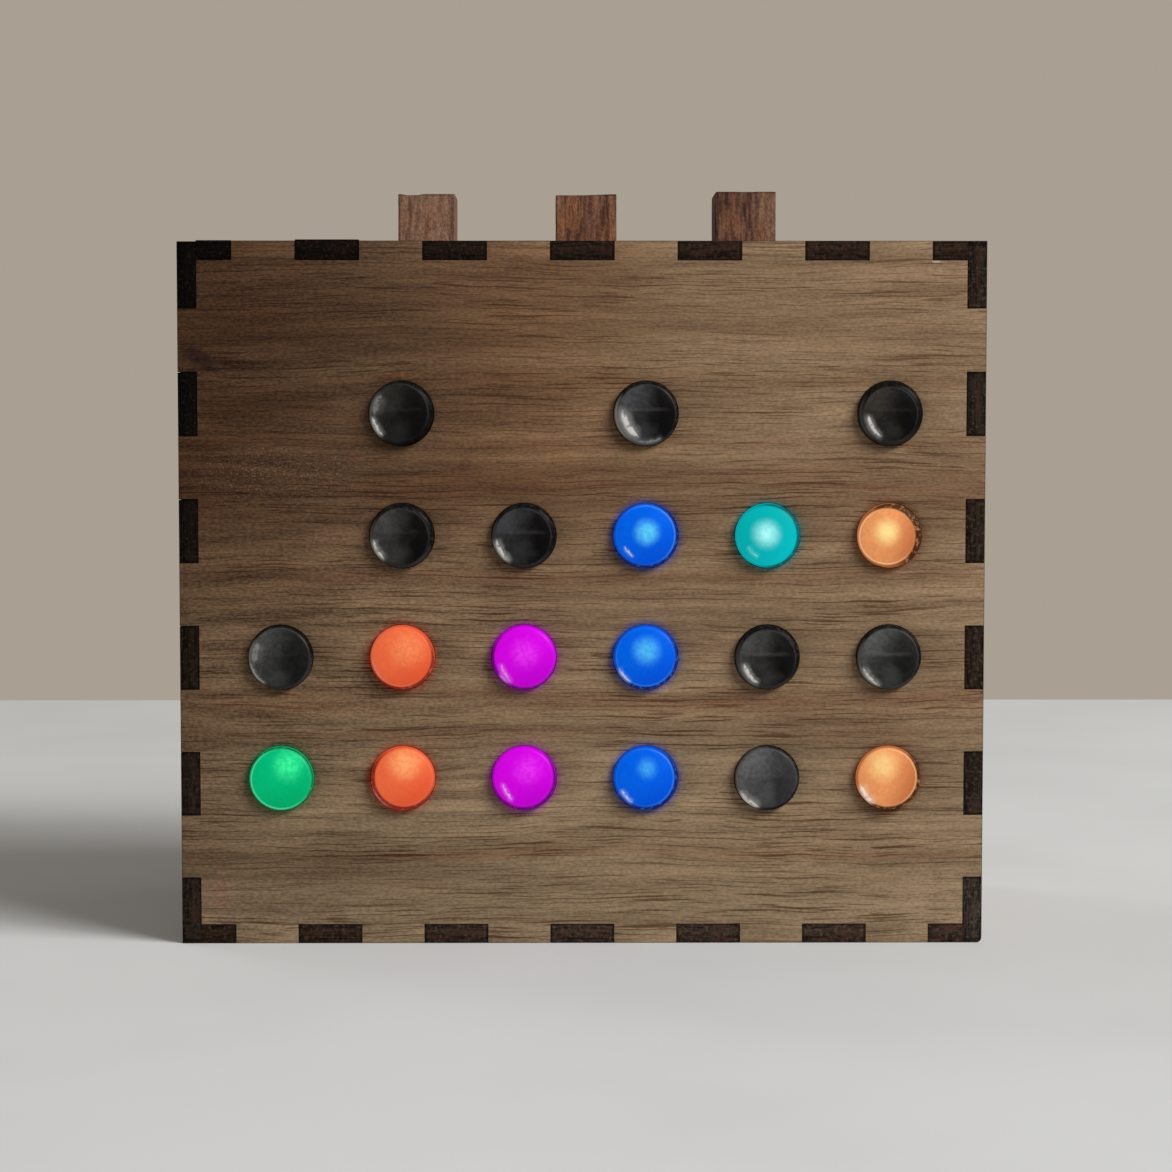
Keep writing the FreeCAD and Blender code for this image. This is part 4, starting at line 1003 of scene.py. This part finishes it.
def button_walnut(name, seed):
    """Solid walnut with upright grain, and a darker, sanded upper end."""
    tones = BUTTON_TONES[name]
    g = Graph(name + "_button_walnut")
    low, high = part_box(name + "_button")
    wave = g.noise(g.x * 300, g.y * 300, g.z * 90, detail=1.0)
    across = g.x + (wave - 0.5) * (0.8 * MM)
    wood = layers(g, BUTTON_LAYERS, lambda along_scale, scale, offset: (
        across * scale, g.y * scale, g.z * along_scale + (seed + offset)))

    g.colour = g.mix(wood.columns, tones["dark"], tones["middle"])
    if name == "right":
        pale = g.fade(across, high.x - 4.2 * MM, high.x - 2.2 * MM)
        g.colour = g.mix(pale, g.mix(1.0, g.colour, PURPLE_TINT, "MULTIPLY"),
                         g.mix(0.5, g.colour, tones["light"]))
    g.paint(wood.fibre * 0.38, tones["light"])
    g.paint(wood.patches * 0.4, tones["warm"])
    g.tint(1.0, wood.fibre * 0.26 + wood.speck * 0.40 + 0.62)
    rough_cut = g.noise(g.place, scale=700.0, detail=2.0)
    top = g.z + (rough_cut - 0.5) * (0.7 * MM)
    g.paint(g.fade(top, high.z - 0.50 * MM, high.z - 0.12 * MM, 0.0, 0.8), tones["edge"])
    half = (high.x - low.x) / 2
    off = abs(g.x - (low.x + high.x) / 2)
    g.paint(g.fade(off, half - 0.45 * MM, half, 0.0, 0.4), tones["edge"])
    return g.finish(Roughness=g.fade(wood.fibre, 0.0, 1.0, 0.68, 0.56),
                    Normal=g.bump(wood.fibre * 0.5 + wood.speck * 0.4, 0.06 * MM, 0.8),
                    Specular_IOR_Level=0.12)


def cube():
    bm = bmesh.new()
    bmesh.ops.create_cube(bm, size=1.0)
    return bm


def rounded_box(low, high, radius):
    """A box with rounded edges, its faces divided into a grid."""
    bm = cube()
    bmesh.ops.subdivide_edges(bm, edges=bm.edges, cuts=BUTTON_CUTS, use_grid_fill=True)
    middle, size = (low + high) / 2, high - low
    for vert in bm.verts:
        co = Vector([squeeze(vert.co[i], size[i], radius) for i in range(3)])
        inner = Vector([max(-size[i] / 2 + radius, min(size[i] / 2 - radius, co[i]))
                        for i in range(3)])
        away = co - inner
        if away.length > radius:
            co = inner + away.normalized() * radius
        vert.co = middle + co
    return bm


def squeeze(share, size, radius):
    """Moves a place on a face, -0.5 to 0.5, so that the outer rows lie on the rounded edge."""
    steps = 0.5 - abs(share)
    edge = ROWS_ON_EDGE / (BUTTON_CUTS + 1)
    if steps < edge:
        inward = radius * steps / edge
    else:
        inward = radius + (steps - edge) / (0.5 - edge) * (size / 2 - radius)
    return math.copysign(size / 2 - inward, share) if share else 0.0


def button_mesh(name):
    """A hand-cut post: slightly uneven faces, a sanded upper end and, on the right button, a
    rounded upper left edge."""
    low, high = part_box(name + "_button")
    bm = rounded_box(low, high, BUTTON_EASE)
    for vert in bm.verts:
        co = vert.co
        if name == "right":
            corner = Vector((low.x + ROUNDED_CORNER, co.y, high.z - ROUNDED_CORNER))
            away = co - corner
            if away.x < 0 < away.z and away.length > ROUNDED_CORNER:
                co = corner + away.normalized() * ROUNDED_CORNER
        inside = Vector((low.x + high.x, low.y + high.y, 0)) / 2
        inside.z = min(co.z, high.z - ROUNDED_CORNER)
        outward = (co - inside).normalized()
        swell = noise.noise(co / (1.6 * MM)) * 0.6 + noise.noise(co / (5.0 * MM))
        vert.co = co + outward * min(swell, 0.25) * BUTTON_WOBBLE
        top = smooth(co.z, high.z - MM, high.z)
        place, reach, depth = BUTTON_DIPS[name]
        vert.co.z -= depth * top * (1 - smooth(abs(co.x - low.x - place), reach / 3, reach))
    return mesh_from(bm, name + "_button")


def drill(made, low, high):
    """Cuts a square blind hole from low to high."""
    bm = cube()
    size = high - low
    for vert in bm.verts:
        vert.co = (low + high) / 2 + Vector([vert.co[i] * size[i] for i in range(3)])
    tool = add_object("drill", mesh_from(bm, "drill"))
    cut = made.modifiers.new("hole", "BOOLEAN")
    cut.operation = "DIFFERENCE"
    cut.object = tool
    cut.solver = "EXACT"
    bpy.context.view_layer.update()
    evaluated = made.evaluated_get(bpy.context.evaluated_depsgraph_get())
    mesh = bpy.data.meshes.new_from_object(evaluated)
    made.modifiers.remove(cut)
    made.data = mesh
    bpy.data.objects.remove(tool)


def spring_mesh(name, centre_x, low, high):
    """A coil spring of round wire."""
    curve = bpy.data.curves.new(name, "CURVE")
    curve.dimensions = "3D"
    curve.bevel_depth = SPRING_WIRE_RADIUS
    curve.bevel_resolution = 2
    curve.use_fill_caps = True
    count = SPRING_TURNS * SPRING_POINTS_A_TURN
    spline = curve.splines.new("POLY")
    spline.points.add(count)
    for i, point in enumerate(spline.points):
        turn = 2 * math.pi * i / SPRING_POINTS_A_TURN
        height = low + SPRING_WIRE_RADIUS + (high - low - 2 * SPRING_WIRE_RADIUS) * i / count
        point.co = (centre_x + SPRING_RADIUS * math.cos(turn), SPRING_RADIUS * math.sin(turn),
                    height, 1.0)
    return mesh_from(curve_mesh(name, curve), name)


def make_buttons():
    steel = metal("spring_steel", (168, 170, 174), 0.28, 3000.0)
    for i, name in enumerate(BUTTONS):
        node = name + "_button"
        made = piece(node + "_post", button_mesh(name), [button_walnut(name, 5.0 + 9.0 * i)],
                     name + "_push_button", node)
        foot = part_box(node)[0].z
        middle = centre(node)
        half = STEM_SIZE / 2
        drill(made, Vector((middle.x - half, -half, foot - MM)),
              Vector((middle.x + half, half, foot + STEM_HOLE_DEPTH)))
        spring = name + "_switch_spring"
        low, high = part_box(spring)
        coil = piece(spring + "_coil", spring_mesh(spring, middle.x, low.z, high.z), [steel], CASE,
                     spring)
        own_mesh(coil)


# ---------------------------------------------------------------- everything inside

WIRE_TONES = ((176, 26, 24), (24, 24, 26), (214, 172, 30), (216, 216, 210))
WIRES_START = -17.35 * MM
WIRES_WIDTH = 10.0 * MM


def metal(name, tone, roughness, scale):
    """Plated metal with fine rubbing marks."""
    g = Graph(name)
    marks = g.noise(g.place, scale=scale, detail=4.0, roughness=0.65)
    stain = g.noise(g.place, scale=scale / 12, detail=2.0)
    g.colour = g.mix(g.fade(stain, 0.35, 0.7), srgb(*tone), scaled(srgb(*tone), 0.78))
    return g.finish(Metallic=1.0, Normal=g.bump(marks, 0.01 * MM, 0.4),
                    Roughness=g.fade(marks, 0.3, 0.7, roughness - 0.08, roughness + 0.12))


def moulded(name, tone, roughness, scale=2500.0):
    """Moulded plastic with a fine sparked texture."""
    g = Graph(name)
    spark = g.noise(g.place, scale=scale, detail=3.0, roughness=0.6)
    cloud = g.noise(g.place, scale=160.0, detail=2.0)
    g.colour = g.mix(g.fade(cloud, 0.3, 0.7), scaled(srgb(*tone), 0.88), scaled(srgb(*tone), 1.1))
    return g.finish(Normal=g.bump(spark, 0.02 * MM, 0.5),
                    Roughness=g.fade(spark, 0.3, 0.7, roughness - 0.06, roughness + 0.08))


def plain_wood(name, tone, along, seed):
    """Pale hardwood for the hidden blocks, and plywood for the collars."""
    colour = srgb(*tone)
    tones = {"light": scaled(colour, 1.18), "middle": colour, "dark": scaled(colour, 0.74)}
    return walnut(name, along, "z", seed, tones)


def circuit(name, u, v, seed):
    """Green solder mask over copper tracks, with tinned pads."""
    g = Graph(name)
    cu, cv = g.axis[u], g.axis[v]
    flat = g.point(cu, cv, 0.0)
    brick = g.node("TexBrick", {
        "Vector": flat, "Scale": 260.0, "Mortar Size": 0.035, "Brick Width": 1.7,
        "Row Height": 0.42, "Color1": (0, 0, 0, 1), "Color2": (0, 0, 0, 1), "Mortar": (1, 1, 1, 1),
    }, "Fac", offset=0.37)
    area = g.fade(g.noise(cu, cv, seed, scale=90.0, detail=1.0), 0.46, 0.52)
    tracks = brick * area
    cells = g.node("TexVoronoi", {"Vector": flat, "Scale": 330.0, "Randomness": 0.55}, "Distance")
    pads = g.fade(cells, 0.10, 0.14, 1.0, 0.0) * area
    shade = g.fade(g.noise(flat, scale=300.0, detail=2.0), 0.3, 0.7)
    g.colour = g.mix(shade, srgb(12, 66, 42), srgb(16, 78, 50))
    g.paint(tracks, srgb(34, 112, 70))
    g.paint(pads, srgb(186, 182, 168))
    return g.finish(Roughness=g.fade(pads, 0.0, 1.0, 0.34, 0.25),
                    Normal=g.bump(tracks + pads, 0.03 * MM, 0.6), Specular_IOR_Level=0.5)


def wires(name):
    """Ribbon of four wires, each its own colour."""
    g = Graph(name)
    way = g.math("FRACT", (g.x - WIRES_START) * (1 / WIRES_WIDTH))
    g.colour = srgb(*WIRE_TONES[0])
    for i, tone in enumerate(WIRE_TONES[1:], start=1):
        g.paint(g.math("GREATER_THAN", way, i / len(WIRE_TONES)), srgb(*tone))
    rub = g.noise(g.place, scale=1800.0, detail=2.0)
    g.paint(g.fade(rub, 0.4, 0.8, 0.0, 0.2), srgb(150, 145, 140))
    return g.finish(Roughness=g.fade(rub, 0.3, 0.7, 0.38, 0.5),
                    Normal=g.bump(rub, 0.02 * MM, 0.3))


def socket_steel(name):
    """Plated shell of the power socket, with a black plastic tongue in its mouth."""
    g = Graph(name)
    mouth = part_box("power_socket")[1].y
    middle = centre("power_socket")
    near_x = g.fade(abs(g.x - middle.x), 3.36 * MM, 3.4 * MM, 1.0, 0.0)
    near_z = g.fade(abs(g.z - middle.z), 0.37 * MM, 0.4 * MM, 1.0, 0.0)
    tongue = near_x * near_z * g.fade(g.y, mouth - 1.0 * MM, mouth - 0.95 * MM, 1.0, 0.0)
    marks = g.noise(g.x * 400, g.y * 3000, g.z * 400, detail=3.0)
    g.colour = g.mix(g.fade(marks, 0.3, 0.7), srgb(158, 160, 164), srgb(196, 198, 200))
    g.paint(tongue, srgb(22, 22, 24))
    return g.finish(Metallic=1.0 - tongue, Roughness=g.fade(marks, 0.3, 0.7, 0.24, 0.4),
                    Normal=g.bump(marks, 0.01 * MM, 0.4))


def dress(material, *names):
    """Gives a material to CAD nodes that stay as they are."""
    for name in names:
        for slot in NODES[name].material_slots:
            slot.material = material


def dress_inside():
    collars = [name + "_button_collar" for name in BUTTONS]
    stems = [name + "_switch_stem" for name in BUTTONS]
    dress(plain_wood("block_beech", (176, 142, 104), "y", 101.0), "mounting_blocks")
    dress(plain_wood("collar_plywood", (120, 94, 70), "x", 111.0), *collars)
    dress(moulded("diffuser_opal", (226, 226, 222), 0.5), "diffuser_sheet")
    dress(moulded("black_plastic", (26, 26, 28), 0.5), "light_baffle", "switch_housings",
          "coin_cell_holder")
    dress(moulded("chip_epoxy", (32, 32, 34), 0.55, 5000.0), "microcontroller",
          "real_time_clock_chip")
    dress(moulded("led_package", (232, 230, 220), 0.4), "display_leds")
    dress(moulded("connector_nylon", (222, 214, 192), 0.45), "cable_sockets", "cable_plugs",
          "main_board_standoffs")
    dress(moulded("stem_plastic", (196, 198, 200), 0.4), *stems)
    dress(moulded("capacitor_sleeve", (24, 34, 74), 0.3), "power_capacitor")
    dress(circuit("display_board_mask", "x", "z", 1.0), "display_board")
    dress(circuit("main_board_mask", "x", "y", 5.0), "main_board")
    dress(circuit("button_board_mask", "x", "y", 9.0), "button_board")
    dress(wires("wire_insulation"), "ribbon_cables")
    dress(metal("plated_steel", (184, 186, 188), 0.3, 2200.0), "crystal", "coin_cell",
          "coin_cell_clip", "board_screws")
    dress(metal("screw_brass", (186, 152, 88), 0.32, 2600.0), "back_panel_screws")
    dress(socket_steel("power_socket_steel"), "power_socket")


# ---------------------------------------------------------------- studio

FLOOR_TONE = srgb(188, 189, 189)
BACKDROP_TONE = srgb(169, 160, 147)
FLOOR_BACK = 353 * MM
FLOOR_FRONT = -1500 * MM
FLOOR_HALF_WIDTH = 1500 * MM
AMBIENT_TONE = srgb(255, 247, 234)
AMBIENT = 0.28
# Name, azimuth from +X towards +Y, elevation, distance, size, power in watts
LAMPS = (
    ("key", -22, 36, 2.0, 0.75, 29.0),
    ("second_key", -41, 36, 2.0, 0.75, 29.0),
    ("back", 140, 40, 2.0, 0.8, 5.0),
)
LAMP_AIM = (0, 0, 55 * MM)
# The camera's place, tilt and turn, in degrees, were fitted to the photograph
CAMERA_PLACE = (-2.18 * MM, -455.18 * MM, 81.86 * MM)
CAMERA_TILT = 3.368
CAMERA_TURN = -0.372
CAMERA_LENS = 82.94
SENSOR_WIDTH = 36.0
NEAREST = 10 * MM


def make_floor():
    bm = bmesh.new()
    corners = ((-1, FLOOR_FRONT), (1, FLOOR_FRONT), (1, FLOOR_BACK), (-1, FLOOR_BACK))
    bm.faces.new([bm.verts.new((side * FLOOR_HALF_WIDTH, y, 0)) for side, y in corners])
    mesh = bpy.data.meshes.new("floor")
    bm.to_mesh(mesh)
    bm.free()
    floor = add_object("floor", mesh)
    g = Graph("floor_pale")
    cloud = g.noise(g.place, scale=14.0, detail=3.0)
    g.colour = g.mix(g.fade(cloud, 0.35, 0.7), FLOOR_TONE, scaled(FLOOR_TONE, 0.95))
    mesh.materials.append(g.finish(Roughness=0.8, Specular_IOR_Level=0.08))


def make_world():
    """A plain backdrop for what the camera and reflections see, and soft light from all round."""
    world = bpy.data.worlds.new("studio")
    bpy.context.scene.world = world
    world.use_nodes = True
    tree = world.node_tree
    tree.nodes.clear()
    path = tree.nodes.new("ShaderNodeLightPath")
    seen = path.outputs["Is Camera Ray"]
    for name in ("Is Glossy Ray", "Is Transmission Ray"):
        either = tree.nodes.new("ShaderNodeMath")
        either.operation = "MAXIMUM"
        tree.links.new(seen, either.inputs[0])
        tree.links.new(path.outputs[name], either.inputs[1])
        seen = either.outputs[0]
    mix = tree.nodes.new("ShaderNodeMixShader")
    tree.links.new(seen, mix.inputs[0])
    for i, (tone, strength) in enumerate(((AMBIENT_TONE, AMBIENT), (BACKDROP_TONE, 1.0))):
        light = tree.nodes.new("ShaderNodeBackground")
        light.inputs["Color"].default_value = tone
        light.inputs["Strength"].default_value = strength
        tree.links.new(light.outputs[0], mix.inputs[1 + i])
    output = tree.nodes.new("ShaderNodeOutputWorld")
    tree.links.new(mix.outputs[0], output.inputs[0])


def make_lamps():
    for name, azimuth, elevation, distance, size, power in LAMPS:
        data = bpy.data.lights.new(name, "AREA")
        data.shape = "DISK"
        data.size = size
        data.energy = power
        lamp = add_object(name, data)
        (cos_a, sin_a), (cos_e, sin_e) = unit(azimuth), unit(elevation)
        way = Vector((cos_a * cos_e, sin_a * cos_e, sin_e))
        lamp.location = Vector(LAMP_AIM) + way * distance
        lamp.rotation_euler = way.to_track_quat("Z", "Y").to_euler()


def make_camera():
    data = bpy.data.cameras.new("camera")
    data.lens = CAMERA_LENS
    data.sensor_width = SENSOR_WIDTH
    data.clip_start = NEAREST
    camera = add_object("camera", data)
    camera.location = CAMERA_PLACE
    camera.rotation_euler = (math.radians(90 - CAMERA_TILT), 0, math.radians(CAMERA_TURN))
    bpy.context.scene.camera = camera


make_case()
make_lenses()
make_buttons()
dress_inside()
make_floor()
make_world()
make_lamps()
make_camera()
bpy.context.scene.view_settings.view_transform = "Standard"
